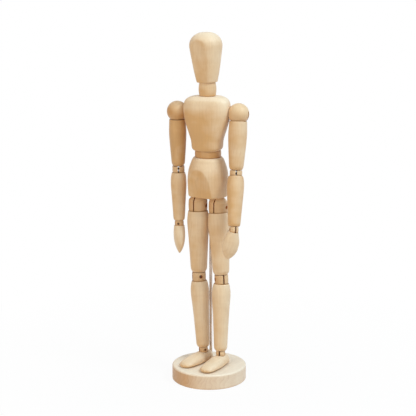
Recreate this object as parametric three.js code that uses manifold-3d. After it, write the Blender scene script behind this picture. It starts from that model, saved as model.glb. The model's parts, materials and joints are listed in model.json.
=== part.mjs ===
// An artist's wooden mannequin, about 300 mm tall, on a round base with a steel rod.
// Millimetres, +Z up. The figure faces -Y and its own left side is +X.
// The origin is the centre of the base's underside.
import * as THREE from 'three';
import { mergeVertices } from 'three/addons/utils/BufferGeometryUtils.js';
import Module from 'manifold-3d';

// Base and rod
const BASE_DIAMETER = 64.4;
const BASE_HEIGHT = 13;
const BASE_TOP_ROUND = 1.6;
const BASE_FOOT_BEVEL = 0.6;
const ROD_DIAMETER = 2.8;
const ROD_FROM_BASE_CENTRE = 18.7;
const ROD_BEARING = 20.4;
const ROD_IN_BASE = 10;
const ROD_IN_PELVIS = 20;
const ROD_BEHIND_PELVIS = 5.8;

// Clearances
const SEAT_GAP = 0.3;
const PIN_GAP = 0.3;
const BORE_GAP = 0.7;
const SOLE_CLEARANCE = 0.9;

// Pelvis: a bell-shaped turning with sawn flats on the front and the back
const PELVIS_HEIGHT = 34.1;
const PELVIS_TOP_RADIUS = 12.7;
const PELVIS_RADIUS = 17.6;
const PELVIS_BOTTOM_RADIUS = 16.2;
const PELVIS_TOP_ROUND = 0.6;
// Shares of the pelvis's radius, each at a fraction of its height
const PELVIS_RADII = [[0.026, 0.96], [0.25, 0.994], [0.45, 1], [0.7, 0.938], [0.93, 0.784]];
const PELVIS_FLAT_BEARING = -9;
const PELVIS_FLAT_START = 25;
const PELVIS_FLAT_TOP_DEPTH = 1.2;
const PELVIS_FLAT_DEPTH = 4.2;
const HIP_REACH = 9.6;
const HIP_HOOK_DEPTH = 10;
const HIP_HOOK_RADIUS = 1.26;

// Waist disc, domed inside its two seats
const WAIST_RADIUS = 11.1;
const WAIST_HEIGHT = 5.3;
const WAIST_BULGE = 0.2;
const WAIST_DOME = 20;

// Chest, with shares of its half-width and half-depth, each at a fraction of its height
const CHEST_HEIGHT = 46.4;
const CHEST_BOTTOM_RADIUS = 10.9;
const CHEST_HALF_WIDTH = 20.3;
const CHEST_HALF_DEPTH = 13.6;
const CHEST_TOP_HALF_WIDTH = 12.5;
const CHEST_TOP_HALF_DEPTH = 8.2;
const CHEST_WIDTHS = [
  [0.05, 0.626], [0.17, 0.65], [0.3, 0.74], [0.44, 0.85], [0.59, 0.95],
  [0.77, 1], [0.88, 0.97], [0.95, 0.87], [0.985, 0.73],
];
const CHEST_DEPTHS = [[0.05, 0.912], [0.3, 0.97], [0.6, 1], [0.8, 0.96], [0.92, 0.86]];
const CHEST_BACK_TAPER = 0.07;
const CHEST_SQUARENESS = 0.76;
const SHOULDER_HEIGHT = 32.2;
const SHOULDER_REACH = 27.7;

// Neck and head, with shares of their radii, each at a fraction of the height
const NECK_RADIUS = 7.6;
const NECK_END_RADIUS = 6.95;
const NECK_HEIGHT = 11;
const NECK_DOME = 12;
const NECK_RADII = [[0.27, 0.98], [0.5, 1], [0.73, 0.98]];
const HEAD_HEIGHT = 42.2;
const HEAD_RADIUS = 14;
const HEAD_BOTTOM_RADIUS = 8.8;
const HEAD_RADII = [
  [0.2, 0.76], [0.48, 0.9], [0.68, 0.99], [0.76, 1], [0.85, 0.92], [0.93, 0.72], [0.985, 0.4],
];
const FACE_TOP = 36.4;
const FACE_TOP_DEPTH = 1.2;
const FACE_CHIN_DEPTH = 1.5;

// Springs and the bores that they run in
const SPRING_RADIUS = 1.8;
const WIRE_RADIUS = 0.45;
const EYE_RADIUS = 1.7;
const EYE_THICKNESS = 0.6;
const STEM_WIDTH = 1.4;
const STEM_IN_EYE = 0.5;
const SPRING_FROM_BALL = 2;
const CROSS_SPRING_GAP = 1.5;
const NECK_SPRING_GAP = 1.5;
const WAIST_SPRING_GAP = 2;
const HOOK_MOUTH_RADIUS = 2.7;
const HOOK_MOUTH_DEPTH = 1.9;
const NECK_SPRING_RADIUS = 1.6;
const NECK_BORE_RADIUS = 3.2;
const NECK_BORE_DEPTH = 8;
const WAIST_SPRING_RADIUS = 2.2;
const WAIST_BORE_RADIUS = 3.4;
const WAIST_BORE_DEPTH = 12;

// Joint balls: a turned collar of the given radius on a ball, with a flat top that the limb
// above turns on, a boss that centres it, a slot for the spring and a cross pin
const SHOULDER = { ball: 9, slot: 1.3, pin: 1.6, pinDepth: 5.4, hole: 3.2, holeDepth: 2 };
const ELBOW = { collar: 5.2, ball: 5.8, top: 2.5, boss: 2.6, slot: 1.3, pin: 1.4, hole: 2.2 };
const WRIST = { collar: 3.8, ball: 4.25, top: 2.3, boss: 2, slot: 1.2, pin: 1.2, hole: 2 };
const HIP = { collar: 8.1, ball: 9.1, top: 8.4, boss: 2.5, slot: 1.2, pin: 1.6, hole: 3.4 };
const KNEE = { collar: 5.9, ball: 7, top: 3.4, boss: 3.6, slot: 1.3, pin: 1.6, hole: 3.2 };
const ANKLE = { collar: 3.9, ball: 4.25, top: 2, boss: 2, slot: 1.3, pin: 1.2, hole: 2 };
const BOSS_HEIGHT = 1.2;
const COLLAR_BULGE = 0.15;
const HOLE_DEPTH = 1.5;
const SLOT_OVERCUT = 0.2;

// Limbs: the span from pin to pin, the rim radius at the upper cup, the end radius at the
// lower flat, and radii between them, each at a fraction of the length from the rim
const CUP_LIP = 0.4;
const UPPER_ARM = {
  span: 50.2, rim: 7.4, end: 4.9, radii: [[0.08, 7.5], [0.3, 7.8], [0.6, 7.1], [0.94, 6]],
};
const FOREARM = {
  span: 47.8, rim: 6, end: 4.6, radii: [[0.1, 6.9], [0.26, 7.1], [0.55, 6.3], [0.95, 5.2]],
};
const THIGH = {
  span: 62.9, rim: 8.5, end: 5.7, radii: [[0.07, 9.1], [0.2, 9.55], [0.45, 8.6], [0.95, 7.1]],
};
const SHIN = {
  span: 65.9, rim: 6.6, end: 4.6, radii: [[0.05, 7.4], [0.18, 8.1], [0.5, 6.9], [0.96, 5.8]],
};

// Hand: half-widths and half-thicknesses, each at a fraction of the length from the wrist seat
const HAND_LENGTH = 26.4;
const HAND_HOOK_DEPTH = 10.2;
const HAND_HALF_WIDTH = 7;
const HAND_HALF_THICKNESS = 4.9;
const HAND_WIDTHS = [
  [0, 0.65], [0.14, 0.78], [0.24, 0.9], [0.4, 1], [0.59, 0.98], [0.75, 0.81], [0.89, 0.5], [0.97, 0.2],
];
const HAND_THICKNESSES = [[0, 0.93], [0.28, 1], [0.46, 0.95], [0.7, 0.73], [0.89, 0.37], [1, 0.1]];

// Foot: half-widths and heights, each at a fraction of the length from the toe
const FOOT_AHEAD = 28.6;
const FOOT_BEHIND = 9.6;
const FOOT_HALF_WIDTH = 7.6;
const FOOT_HEIGHT = 8;
const ANKLE_HEIGHT = 9;
const FOOT_WIDTHS = [
  [0.03, 0.52], [0.09, 0.78], [0.24, 0.95], [0.43, 1], [0.64, 0.93], [0.84, 0.84], [0.95, 0.62],
];
const FOOT_HEIGHTS = [
  [0, 0.2], [0.05, 0.42], [0.15, 0.62], [0.25, 0.72], [0.45, 0.84], [0.65, 0.95], [0.8, 1], [1, 0.75],
];
// Powers below 1 square the foot's section
const FOOT_SIDE_POWER = 0.8;
const FOOT_TOP_POWER = 0.75;
const FOOT_HOOK_FLOOR = 1;

// Pose at rest, in degrees. A bearing is turned from the front towards the figure's left.
// A limb leans to the figure's left by side and towards its front by forward.
const CHEST_TURN = 5;
const CHEST_TILT = -0.4;
const HEAD_TURN = -14;
const HEAD_TILT = -2;
const ARMS = [
  {
    name: 'left', side: 1, girth: 1.02, elbowSlot: 26, wristSlot: 48, handTurn: 32,
    upperArm: { side: 1.1, forward: 8 },
    forearm: { side: 5.2, forward: 16 },
    hand: { side: -11, forward: 5 },
  },
  {
    name: 'right', side: -1, girth: 0.96, elbowSlot: 27, wristSlot: -75, handTurn: -47,
    upperArm: { side: 0.4, forward: -1 },
    forearm: { side: 2.1, forward: 3 },
    hand: { side: 2.5, forward: 4 },
  },
];
const LEGS = [
  {
    name: 'left', side: 1, girth: 1, hipSlot: -3, kneeSlot: 46, ankleSlot: 9, footTurn: -5,
    thigh: { side: 4.8, forward: 4.1 }, shin: { side: 1.5, forward: 4.6 },
  },
  {
    name: 'right', side: -1, girth: 1, hipSlot: -3, kneeSlot: -47, ankleSlot: -38, footTurn: -14,
    thigh: { side: 2, forward: 2.6 }, shin: { side: 4.9, forward: 2.6 },
  },
];

const DEGREE = Math.PI / 180;
const AROUND = 16;
const FINE = 20;
const ROUND = 12;
const SEATED = 18;
const ROUGH = 8;
const COARSE = 6;
const X = new THREE.Vector3(1, 0, 0);
const Y = new THREE.Vector3(0, 1, 0);
const Z = new THREE.Vector3(0, 0, 1);

function material(name, color, roughness, metalness) {
  return new THREE.MeshStandardMaterial({ name, color, roughness, metalness });
}

const WOOD = material('wood', 0xdcb98a, 0.5, 0);
const BALL_WOOD = material('ball_wood', 0xd8b081, 0.5, 0);
const STEEL = material('steel', 0xa09488, 0.3, 1);
const DARK_STEEL = material('dark_steel', 0x5a5048, 0.45, 1);

const wasm = await Module();
wasm.setup();

// A closed geometry as a solid for joins and cuts
function solidOf(geometry) {
  const bare = geometry.clone();
  bare.deleteAttribute('normal');
  bare.deleteAttribute('uv');
  const merged = mergeVertices(bare, 1e-4);
  const corners = [];
  for (let i = 0; i < merged.index.count; i += 3) {
    const a = merged.index.getX(i);
    const b = merged.index.getX(i + 1);
    const c = merged.index.getX(i + 2);
    if (a !== b && b !== c && c !== a) corners.push(a, b, c);
  }
  return new wasm.Manifold(new wasm.Mesh({
    numProp: 3,
    vertProperties: new Float32Array(merged.attributes.position.array),
    triVerts: new Uint32Array(corners),
  }));
}

function geometryOf(solid) {
  const mesh = solid.getMesh();
  const geometry = new THREE.BufferGeometry();
  geometry.setAttribute('position', new THREE.BufferAttribute(new Float32Array(mesh.vertProperties), 3));
  geometry.setIndex(new THREE.BufferAttribute(new Uint32Array(mesh.triVerts), 1));
  geometry.computeVertexNormals();
  return geometry;
}

function addPiece(group, name, solid, material) {
  const mesh = new THREE.Mesh(geometryOf(solid), material);
  mesh.name = name;
  group.add(mesh);
  return mesh;
}

// A solid turned about Z from [radius, height] points, listed from the bottom up
function turned(points, around = AROUND) {
  const outline = points.map(([radius, height]) => new THREE.Vector2(radius, height));
  return new THREE.LatheGeometry(outline, around).rotateX(Math.PI / 2);
}

// A round bar from one height to another, on Z or moved and turned by a matrix
function bar(radius, low, high, around = ROUGH) {
  return solidOf(turned([[0, low], [radius, low], [radius, high], [0, high]], around));
}

function box(width, depth, low, high) {
  return solidOf(new THREE.BoxGeometry(width, depth, high - low).translate(0, 0, (low + high) / 2));
}

function alongX(solid) {
  return solid.rotate([0, 90, 0]);
}

function alongY(solid) {
  return solid.rotate([-90, 0, 0]);
}

// A ball that cuts a seat: its flat faces stay outside the radius
function seat(radius, around = SEATED) {
  const rows = Math.round(around / 2);
  const grown = radius / (Math.cos(Math.PI / around) * Math.cos(Math.PI / (2 * rows)));
  return solidOf(new THREE.SphereGeometry(grown, around, rows).rotateX(Math.PI / 2));
}

function arc(radius, centre, from, to, steps) {
  const points = [];
  for (let i = 0; i <= steps; i += 1) {
    const angle = (from + (to - from) * i / steps) * DEGREE;
    points.push([radius * Math.cos(angle), centre + radius * Math.sin(angle)]);
  }
  return points;
}

// A smooth run of points through [radius, height] knots
function smooth(knots, steps) {
  const curve = new THREE.SplineCurve(knots.map(([radius, height]) => new THREE.Vector2(radius, height)));
  return curve.getPoints(steps).map((point) => [point.x, point.y]);
}

// The value at a fraction along a list of [fraction, value] pairs
function along(pairs, fraction) {
  const last = pairs.length - 1;
  let i = 0;
  while (i < last - 1 && fraction > pairs[i + 1][0]) i += 1;
  const [f0, v0] = pairs[i];
  const [f1, v1] = pairs[i + 1];
  const share = Math.min(1, Math.max(0, (fraction - f0) / (f1 - f0)));
  return v0 + (v1 - v0) * share;
}

// Moves each corner of a geometry by a rule
function reshape(geometry, rule) {
  const position = geometry.attributes.position;
  for (let i = 0; i < position.count; i += 1) {
    const [x, y, z] = rule(position.getX(i), position.getY(i), position.getZ(i));
    position.setXYZ(i, x, y, z);
  }
  return geometry;
}

function domeDrop(dome, radius) {
  return Math.sqrt(dome * dome - radius * radius);
}

// Base and rod

function makeBase(rodX, rodY) {
  const radius = BASE_DIAMETER / 2;
  const outline = [
    [0, 0],
    [radius - BASE_FOOT_BEVEL, 0],
    [radius, BASE_FOOT_BEVEL],
    ...arc(BASE_TOP_ROUND, BASE_HEIGHT - BASE_TOP_ROUND, 0, 90, 4)
      .map(([out, up]) => [radius - BASE_TOP_ROUND + out, up]),
    [0, BASE_HEIGHT],
  ];
  const hole = bar(ROD_DIAMETER / 2 + SEAT_GAP, BASE_HEIGHT - ROD_IN_BASE - SEAT_GAP, BASE_HEIGHT + 1);
  return solidOf(turned(outline, 40)).subtract(hole.translate([rodX, rodY, 0]));
}

function makeRod(top) {
  return bar(ROD_DIAMETER / 2, BASE_HEIGHT - ROD_IN_BASE, top);
}

// Torso

// Pelvis, with its underside at height bottom above the hip pins
function makePelvis(bottom) {
  const top = bottom + PELVIS_HEIGHT;
  const outline = [
    [0, bottom],
    [PELVIS_BOTTOM_RADIUS, bottom],
    ...smooth(PELVIS_RADII.map(([fraction, share]) => [
      PELVIS_RADIUS * share, bottom + PELVIS_HEIGHT * fraction,
    ]), 6),
    [PELVIS_TOP_RADIUS, top - PELVIS_TOP_ROUND],
    [PELVIS_TOP_RADIUS - PELVIS_TOP_ROUND, top],
    [0, top],
  ];
  let solid = solidOf(turned(outline, FINE));
  for (const facing of [0, 180]) solid = solid.subtract(pelvisFlat(bottom, facing));
  const dome = WAIST_DOME + SEAT_GAP;
  const seatCentre = top + SEAT_GAP + domeDrop(WAIST_DOME, WAIST_RADIUS);
  solid = solid.subtract(seat(dome, AROUND).translate([0, 0, seatCentre]));
  solid = solid.subtract(bar(WAIST_BORE_RADIUS, top - WAIST_BORE_DEPTH, top + 1));
  const rodHole = bar(ROD_DIAMETER / 2 + SEAT_GAP, bottom - 1, bottom + ROD_IN_PELVIS + SEAT_GAP);
  solid = solid.subtract(rodHole.translate([0, ROD_BEHIND_PELVIS, 0]));
  for (const side of [1, -1]) {
    const recess = bar(HIP.boss + SEAT_GAP, bottom - 1, bottom + BOSS_HEIGHT + SEAT_GAP);
    const bore = bar(HIP_HOOK_RADIUS + SEAT_GAP, bottom, bottom + HIP_HOOK_DEPTH + SEAT_GAP, COARSE);
    solid = solid.subtract(recess.add(bore).translate([side * HIP_REACH, 0, 0]));
  }
  return solid;
}

// The wedge that a saw takes off the pelvis: nothing at its start, the full depth at the foot
function pelvisFlat(bottom, facing) {
  const slope = Math.atan2(PELVIS_FLAT_DEPTH, PELVIS_FLAT_START);
  const size = 4 * PELVIS_RADIUS;
  return solidOf(new THREE.BoxGeometry(size, size, size).translate(0, -size / 2, 0)
    .rotateX(slope)
    .translate(0, PELVIS_FLAT_TOP_DEPTH - PELVIS_RADIUS, bottom + PELVIS_FLAT_START)
    .rotateZ((PELVIS_FLAT_BEARING + facing) * DEGREE));
}

// Waist disc, with the centre of its lower rim at height 0
function makeWaist() {
  const half = Math.asin(WAIST_RADIUS / WAIST_DOME) / DEGREE;
  const drop = domeDrop(WAIST_DOME, WAIST_RADIUS);
  const outline = [
    ...arc(WAIST_DOME, drop, -90, -90 + half, 2),
    [WAIST_RADIUS + WAIST_BULGE, WAIST_HEIGHT / 2],
    ...arc(WAIST_DOME, WAIST_HEIGHT - drop, 90 - half, 90, 2),
  ];
  outline[0][0] = 0;
  outline[outline.length - 1][0] = 0;
  const bore = bar(WAIST_BORE_RADIUS, -WAIST_DOME, WAIST_DOME);
  return solidOf(turned(outline, FINE)).subtract(bore);
}

// Chest, with its underside at height 0
function makeChest() {
  const widths = [
    [0, CHEST_BOTTOM_RADIUS],
    ...CHEST_WIDTHS.map(([fraction, share]) => [fraction, CHEST_HALF_WIDTH * share]),
    [1, CHEST_TOP_HALF_WIDTH],
  ];
  const depths = [
    [0, CHEST_BOTTOM_RADIUS],
    ...CHEST_DEPTHS.map(([fraction, share]) => [fraction, CHEST_HALF_DEPTH * share]),
    [1, CHEST_TOP_HALF_DEPTH],
  ];
  const outline = [
    [0, 0],
    ...widths.map(([fraction, half]) => [half, fraction * CHEST_HEIGHT]),
    [0, CHEST_HEIGHT],
  ];
  const block = reshape(turned(outline, FINE), (x, y, z) => {
    const half = along(widths, z / CHEST_HEIGHT);
    const squared = (value) => Math.sign(value) * Math.abs(value / half) ** CHEST_SQUARENESS;
    const depth = squared(y) * along(depths, z / CHEST_HEIGHT);
    return [squared(x) * half * (1 - CHEST_BACK_TAPER * squared(y)), depth, z];
  });
  let solid = solidOf(block);
  const waistCentre = -SEAT_GAP - domeDrop(WAIST_DOME, WAIST_RADIUS);
  solid = solid.subtract(seat(WAIST_DOME + SEAT_GAP, AROUND).translate([0, 0, waistCentre]));
  solid = solid.subtract(bar(WAIST_BORE_RADIUS, -1, WAIST_BORE_DEPTH));
  const neckCentre = CHEST_HEIGHT + SEAT_GAP + domeDrop(NECK_DOME, NECK_END_RADIUS);
  solid = solid.subtract(seat(NECK_DOME + SEAT_GAP).translate([0, 0, neckCentre]));
  solid = solid.subtract(bar(NECK_BORE_RADIUS, CHEST_HEIGHT - NECK_BORE_DEPTH, CHEST_HEIGHT + 1));
  const crossBore = alongX(bar(SPRING_RADIUS + BORE_GAP, -SHOULDER_REACH, SHOULDER_REACH));
  solid = solid.subtract(crossBore.translate([0, 0, SHOULDER_HEIGHT]));
  for (const side of [1, -1]) {
    const socket = seat(SHOULDER.ball + SEAT_GAP).translate([side * SHOULDER_REACH, 0, SHOULDER_HEIGHT]);
    solid = solid.subtract(socket);
  }
  return solid;
}

// Neck barrel, with the centre of its lower rim at height 0
function makeNeck() {
  const half = Math.asin(NECK_END_RADIUS / NECK_DOME) / DEGREE;
  const drop = domeDrop(NECK_DOME, NECK_END_RADIUS);
  const outline = [
    ...arc(NECK_DOME, drop, -90, -90 + half, 2),
    ...NECK_RADII.map(([fraction, share]) => [NECK_RADIUS * share, NECK_HEIGHT * fraction]),
    ...arc(NECK_DOME, NECK_HEIGHT - drop, 90 - half, 90, 2),
  ];
  outline[0][0] = 0;
  outline[outline.length - 1][0] = 0;
  return solidOf(turned(outline)).subtract(bar(NECK_BORE_RADIUS, -NECK_DOME, NECK_DOME * 2));
}

// Head, with its underside at height 0, and the face sawn flat on its front
function makeHead() {
  const outline = [
    [0, 0],
    ...smooth([
      [HEAD_BOTTOM_RADIUS, 0],
      ...HEAD_RADII.map(([fraction, share]) => [HEAD_RADIUS * share, HEAD_HEIGHT * fraction]),
      [0, HEAD_HEIGHT],
    ], 12),
  ];
  outline[outline.length - 1][0] = 0;
  let solid = solidOf(turned(outline, AROUND));
  const topDepth = HEAD_RADIUS - FACE_TOP_DEPTH;
  const chinDepth = HEAD_BOTTOM_RADIUS - FACE_CHIN_DEPTH;
  const slope = Math.atan2(topDepth - chinDepth, FACE_TOP);
  const size = 4 * HEAD_RADIUS;
  const saw = new THREE.BoxGeometry(size, size, size * 2).translate(0, -size / 2, 0)
    .rotateX(slope).translate(0, -topDepth, FACE_TOP);
  solid = solid.subtract(solidOf(saw));
  const neckCentre = -SEAT_GAP - domeDrop(NECK_DOME, NECK_END_RADIUS);
  solid = solid.subtract(seat(NECK_DOME + SEAT_GAP).translate([0, 0, neckCentre]));
  return solid.subtract(bar(NECK_BORE_RADIUS, -1, NECK_BORE_DEPTH));
}

// Joint balls

// A ball on the pin centre: flat top and boss upwards, cup side downwards, pin along X
function makeBall(ball) {
  const belt = Math.acos(ball.collar / ball.ball) / DEGREE;
  const crown = Math.asin(ball.top / ball.ball) / DEGREE;
  const outline = arc(ball.ball, 0, -90, -belt, 3);
  outline[0][0] = 0;
  outline.push([ball.collar + COLLAR_BULGE, 0]);
  if (crown > belt + 1) outline.push(...arc(ball.ball, 0, belt, crown, 2));
  else outline.push([ball.collar, ball.top]);
  outline.push([ball.boss, ball.top], [ball.boss, ball.top + BOSS_HEIGHT], [0, ball.top + BOSS_HEIGHT]);
  const slot = box(ball.slot, 4 * ball.ball, -2 * ball.ball, ball.top + SLOT_OVERCUT);
  const throat = box(ball.slot, 4 * WIRE_RADIUS, 0, 2 * ball.ball);
  const pinHole = alongX(bar(ball.pin / 2 + PIN_GAP, -2 * ball.ball, 2 * ball.ball, COARSE));
  const mouth = alongX(bar(ball.hole / 2, ball.collar - HOLE_DEPTH, 2 * ball.ball, COARSE));
  return solidOf(turned(outline, ROUND)).subtract(slot.add(throat))
    .subtract(pinHole.add(mouth).add(mouth.rotate([0, 0, 180])));
}

function makePin(ball) {
  const half = ball.collar - HOLE_DEPTH;
  return alongX(bar(ball.pin / 2, -half, half, COARSE));
}

// A shoulder ball, turned about X against the chest, with its pin along Y from behind
function makeShoulder(side) {
  const reach = 2 * SHOULDER.ball;
  const ball = solidOf(new THREE.SphereGeometry(SHOULDER.ball, AROUND, 10).rotateX(Math.PI / 2));
  const slot = box(reach + EYE_RADIUS + SEAT_GAP, SHOULDER.slot, -reach, EYE_RADIUS + SEAT_GAP)
    .translate([side * (reach - EYE_RADIUS - SEAT_GAP) / 2, 0, 0]);
  const throat = alongX(bar(2 * WIRE_RADIUS, 0, reach, COARSE)).rotate([0, 0, side > 0 ? 180 : 0]);
  const pinHole = alongY(bar(SHOULDER.pin / 2 + PIN_GAP, -SHOULDER.pinDepth, reach, COARSE));
  const mouth = alongY(bar(SHOULDER.hole / 2, SHOULDER.ball - SHOULDER.holeDepth, reach));
  return ball.subtract(slot.add(throat)).subtract(pinHole.add(mouth));
}

function makeShoulderPin() {
  const blind = SHOULDER.pinDepth - PIN_GAP;
  return alongY(bar(SHOULDER.pin / 2, -blind, SHOULDER.ball - SHOULDER.holeDepth, COARSE));
}

// Limbs

// A limb hanging from its upper pin: a cup on the upper ball, a flat seat on the lower one
function makeLimb(limb, girth, upperBall, lowerBall) {
  const cup = upperBall.ball + SEAT_GAP;
  const rim = limb.rim * girth;
  const top = -Math.sqrt(cup * cup - (rim - CUP_LIP) ** 2);
  const bottom = -limb.span + lowerBall.top + SEAT_GAP;
  const length = top - bottom;
  const end = limb.end * girth;
  const knots = limb.radii.map(([fraction, radius]) => [radius * girth, top - fraction * length]).reverse();
  const outline = [
    [0, bottom],
    [end, bottom],
    ...smooth(knots, 6),
    [rim, top],
    [0, top],
  ];
  const bore = bar(SPRING_RADIUS + BORE_GAP, bottom - 1, 1);
  const recess = bar(lowerBall.boss + SEAT_GAP, bottom - 1, bottom + BOSS_HEIGHT + SEAT_GAP);
  return solidOf(turned(outline)).subtract(seat(cup)).subtract(bore.add(recess));
}

// The eye and stem of a hook, lying in the slot of the ball above and turned with it
function hookEye(ball, tilt, foot) {
  const eye = alongX(bar(EYE_RADIUS, -EYE_THICKNESS / 2, EYE_THICKNESS / 2, COARSE));
  const stem = box(EYE_THICKNESS, STEM_WIDTH, foot, STEM_IN_EYE - EYE_RADIUS);
  const hole = alongX(bar(ball.pin / 2 + PIN_GAP, -1, 1, COARSE));
  const matrix = new THREE.Matrix4().makeRotationFromQuaternion(tilt);
  return eye.add(stem).subtract(hole).transform(matrix.elements);
}

// A limb's tension spring: an eye on the upper pin, a plain coil body in the bore, and a wire
// that ends just above the eye on the lower pin
function makeSpring(limb, upperBall, lowerBall, tilt) {
  const neck = -upperBall.ball - SPRING_FROM_BALL;
  const foot = -limb.span + lowerBall.top + BOSS_HEIGHT + SPRING_FROM_BALL;
  const body = bar(SPRING_RADIUS, foot, neck + 1, COARSE);
  const wire = bar(WIRE_RADIUS, -limb.span + EYE_RADIUS + SEAT_GAP, foot + 1, COARSE);
  return body.add(wire).add(hookEye(upperBall, tilt, neck));
}

// A hook from a pin down into a hand or a foot
function makeEndHook(ball, tilt, depth) {
  const neck = -ball.ball - 2 * SEAT_GAP;
  const shank = bar(WIRE_RADIUS * 2, -depth, neck + SEAT_GAP, COARSE);
  const head = bar(EYE_RADIUS, SEAT_GAP - ball.ball - HOOK_MOUTH_DEPTH, neck + SEAT_GAP, COARSE);
  return shank.add(head).add(hookEye(ball, tilt, neck));
}

// The hole that a hook's shank and head fit, in the cup below its ball
function makeHookHole(ball, depth) {
  const mouth = bar(HOOK_MOUTH_RADIUS, -ball.ball - HOOK_MOUTH_DEPTH, 0);
  return mouth.add(bar(WIRE_RADIUS * 2 + SEAT_GAP, -depth - SEAT_GAP, 0, COARSE));
}

// A hook from just above a hip pin up into the pelvis
function makeHipHook(bottom) {
  const low = HIP.top + BOSS_HEIGHT + SEAT_GAP;
  const wire = bar(WIRE_RADIUS, EYE_RADIUS + SEAT_GAP, low + 1, COARSE);
  return wire.add(bar(HIP_HOOK_RADIUS, low + SEAT_GAP, bottom + HIP_HOOK_DEPTH));
}

function makeHand() {
  const top = -domeDrop(WRIST.ball + SEAT_GAP, HAND_HALF_WIDTH * HAND_WIDTHS[0][1] - CUP_LIP);
  const outline = [[0, -HAND_LENGTH]];
  for (const [fraction, share] of [...HAND_WIDTHS].reverse()) {
    outline.push([HAND_HALF_WIDTH * share, top - fraction * (HAND_LENGTH + top)]);
  }
  outline.push([0, top]);
  const paddle = reshape(turned(outline), (x, y, z) => {
    const fraction = (top - z) / (HAND_LENGTH + top);
    const thickness = HAND_HALF_THICKNESS * along(HAND_THICKNESSES, fraction);
    const width = HAND_HALF_WIDTH * along(HAND_WIDTHS, fraction);
    return [x, y * Math.min(1, thickness / width), z];
  });
  const hole = makeHookHole(WRIST, HAND_HOOK_DEPTH);
  return solidOf(paddle).subtract(seat(WRIST.ball + SEAT_GAP)).subtract(hole);
}

// Foot, on the ankle pin, with its flat sole below and its toe towards -Y
function makeFoot() {
  const length = FOOT_AHEAD + FOOT_BEHIND;
  const outline = [[0, 0]];
  for (const [fraction, share] of FOOT_WIDTHS) outline.push([FOOT_HALF_WIDTH * share, fraction * length]);
  outline.push([0, length]);
  const wedge = reshape(turned(outline), (x, y, z) => {
    const radius = Math.hypot(x, y);
    const height = FOOT_HEIGHT * along(FOOT_HEIGHTS, z / length);
    const upward = radius > 0 ? Math.max(0, y / radius) : 0;
    const across = radius > 0 ? x / radius : 0;
    const side = Math.sign(across) * Math.abs(across) ** FOOT_SIDE_POWER * radius;
    return [-side, z - FOOT_AHEAD, -ANKLE_HEIGHT + height * upward ** FOOT_TOP_POWER];
  });
  const hole = makeHookHole(ANKLE, ANKLE_HEIGHT - FOOT_HOOK_FLOOR - SEAT_GAP);
  return solidOf(wedge).subtract(seat(ANKLE.ball + SEAT_GAP)).subtract(hole);
}

function makeCrossSpring() {
  const end = SHOULDER_REACH - SHOULDER.ball - CROSS_SPRING_GAP;
  const tip = SHOULDER_REACH - EYE_RADIUS - SEAT_GAP;
  return alongX(bar(SPRING_RADIUS, -end, end).add(bar(WIRE_RADIUS, -tip, tip, COARSE)));
}

// Assembly

function addGroup(parent, name, x, y, z) {
  const group = new THREE.Group();
  group.name = name;
  group.position.set(x, y, z);
  parent.add(group);
  return group;
}

function worldTurn(group) {
  group.updateWorldMatrix(true, false);
  return group.getWorldQuaternion(new THREE.Quaternion());
}

// Points a limb's group along its lean and turns it about itself, whatever carries it
function aim(group, lean, bearing = 0) {
  const wanted = new THREE.Quaternion().setFromAxisAngle(Y, -lean.side * DEGREE)
    .multiply(new THREE.Quaternion().setFromAxisAngle(X, -lean.forward * DEGREE))
    .multiply(new THREE.Quaternion().setFromAxisAngle(Z, bearing * DEGREE));
  group.quaternion.copy(worldTurn(group.parent).invert().multiply(wanted));
}

// How a carrying ball is turned as seen from the piece that hangs on it
function tiltOf(ballGroup, pieceGroup) {
  return worldTurn(pieceGroup).invert().multiply(worldTurn(ballGroup));
}

// A ball and its pin at the lower end of a limb, turned to a bearing about that limb
function addBall(limbGroup, span, name, ball, bearing) {
  const group = addGroup(limbGroup, `${name}_turn`, 0, 0, -span);
  group.rotation.z = bearing * DEGREE;
  addPiece(group, name, makeBall(ball), BALL_WOOD);
  addPiece(group, `${name}_pin`, makePin(ball), DARK_STEEL);
  return group;
}

function addLimb(ballGroup, name, limb, girth, upperBall, lowerBall, lean, pinBearing = 0) {
  const group = addGroup(ballGroup, `${name}_swing`, 0, 0, 0);
  aim(group, lean);
  addPiece(group, name, makeLimb(limb, girth, upperBall, lowerBall), WOOD);
  const pinTurn = new THREE.Quaternion().setFromAxisAngle(Z, pinBearing * DEGREE);
  const tilt = tiltOf(ballGroup, group).multiply(pinTurn);
  addPiece(group, `${name}_spring`, makeSpring(limb, upperBall, lowerBall, tilt), STEEL);
  return group;
}

function addArm(chest, arm) {
  const reach = arm.side * SHOULDER_REACH;
  const shoulder = addGroup(chest, `${arm.name}_shoulder_spin`, reach, 0, SHOULDER_HEIGHT);
  addPiece(shoulder, `${arm.name}_shoulder`, makeShoulder(arm.side), BALL_WOOD);
  addPiece(shoulder, `${arm.name}_shoulder_pin`, makeShoulderPin(), DARK_STEEL);
  const upperArm = addLimb(
    shoulder, `${arm.name}_upper_arm`, UPPER_ARM, arm.girth, SHOULDER, ELBOW, arm.upperArm, 90,
  );
  const elbow = addBall(upperArm, UPPER_ARM.span, `${arm.name}_elbow`, ELBOW, arm.elbowSlot);
  const forearm = addLimb(elbow, `${arm.name}_forearm`, FOREARM, arm.girth, ELBOW, WRIST, arm.forearm);
  const wrist = addBall(forearm, FOREARM.span, `${arm.name}_wrist`, WRIST, arm.wristSlot);
  const hand = addGroup(wrist, `${arm.name}_hand_swing`, 0, 0, 0);
  aim(hand, arm.hand, arm.handTurn);
  addPiece(hand, `${arm.name}_hand`, makeHand(), WOOD);
  const hook = makeEndHook(WRIST, tiltOf(wrist, hand), HAND_HOOK_DEPTH);
  addPiece(hand, `${arm.name}_hand_hook`, hook, STEEL);
}

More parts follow.
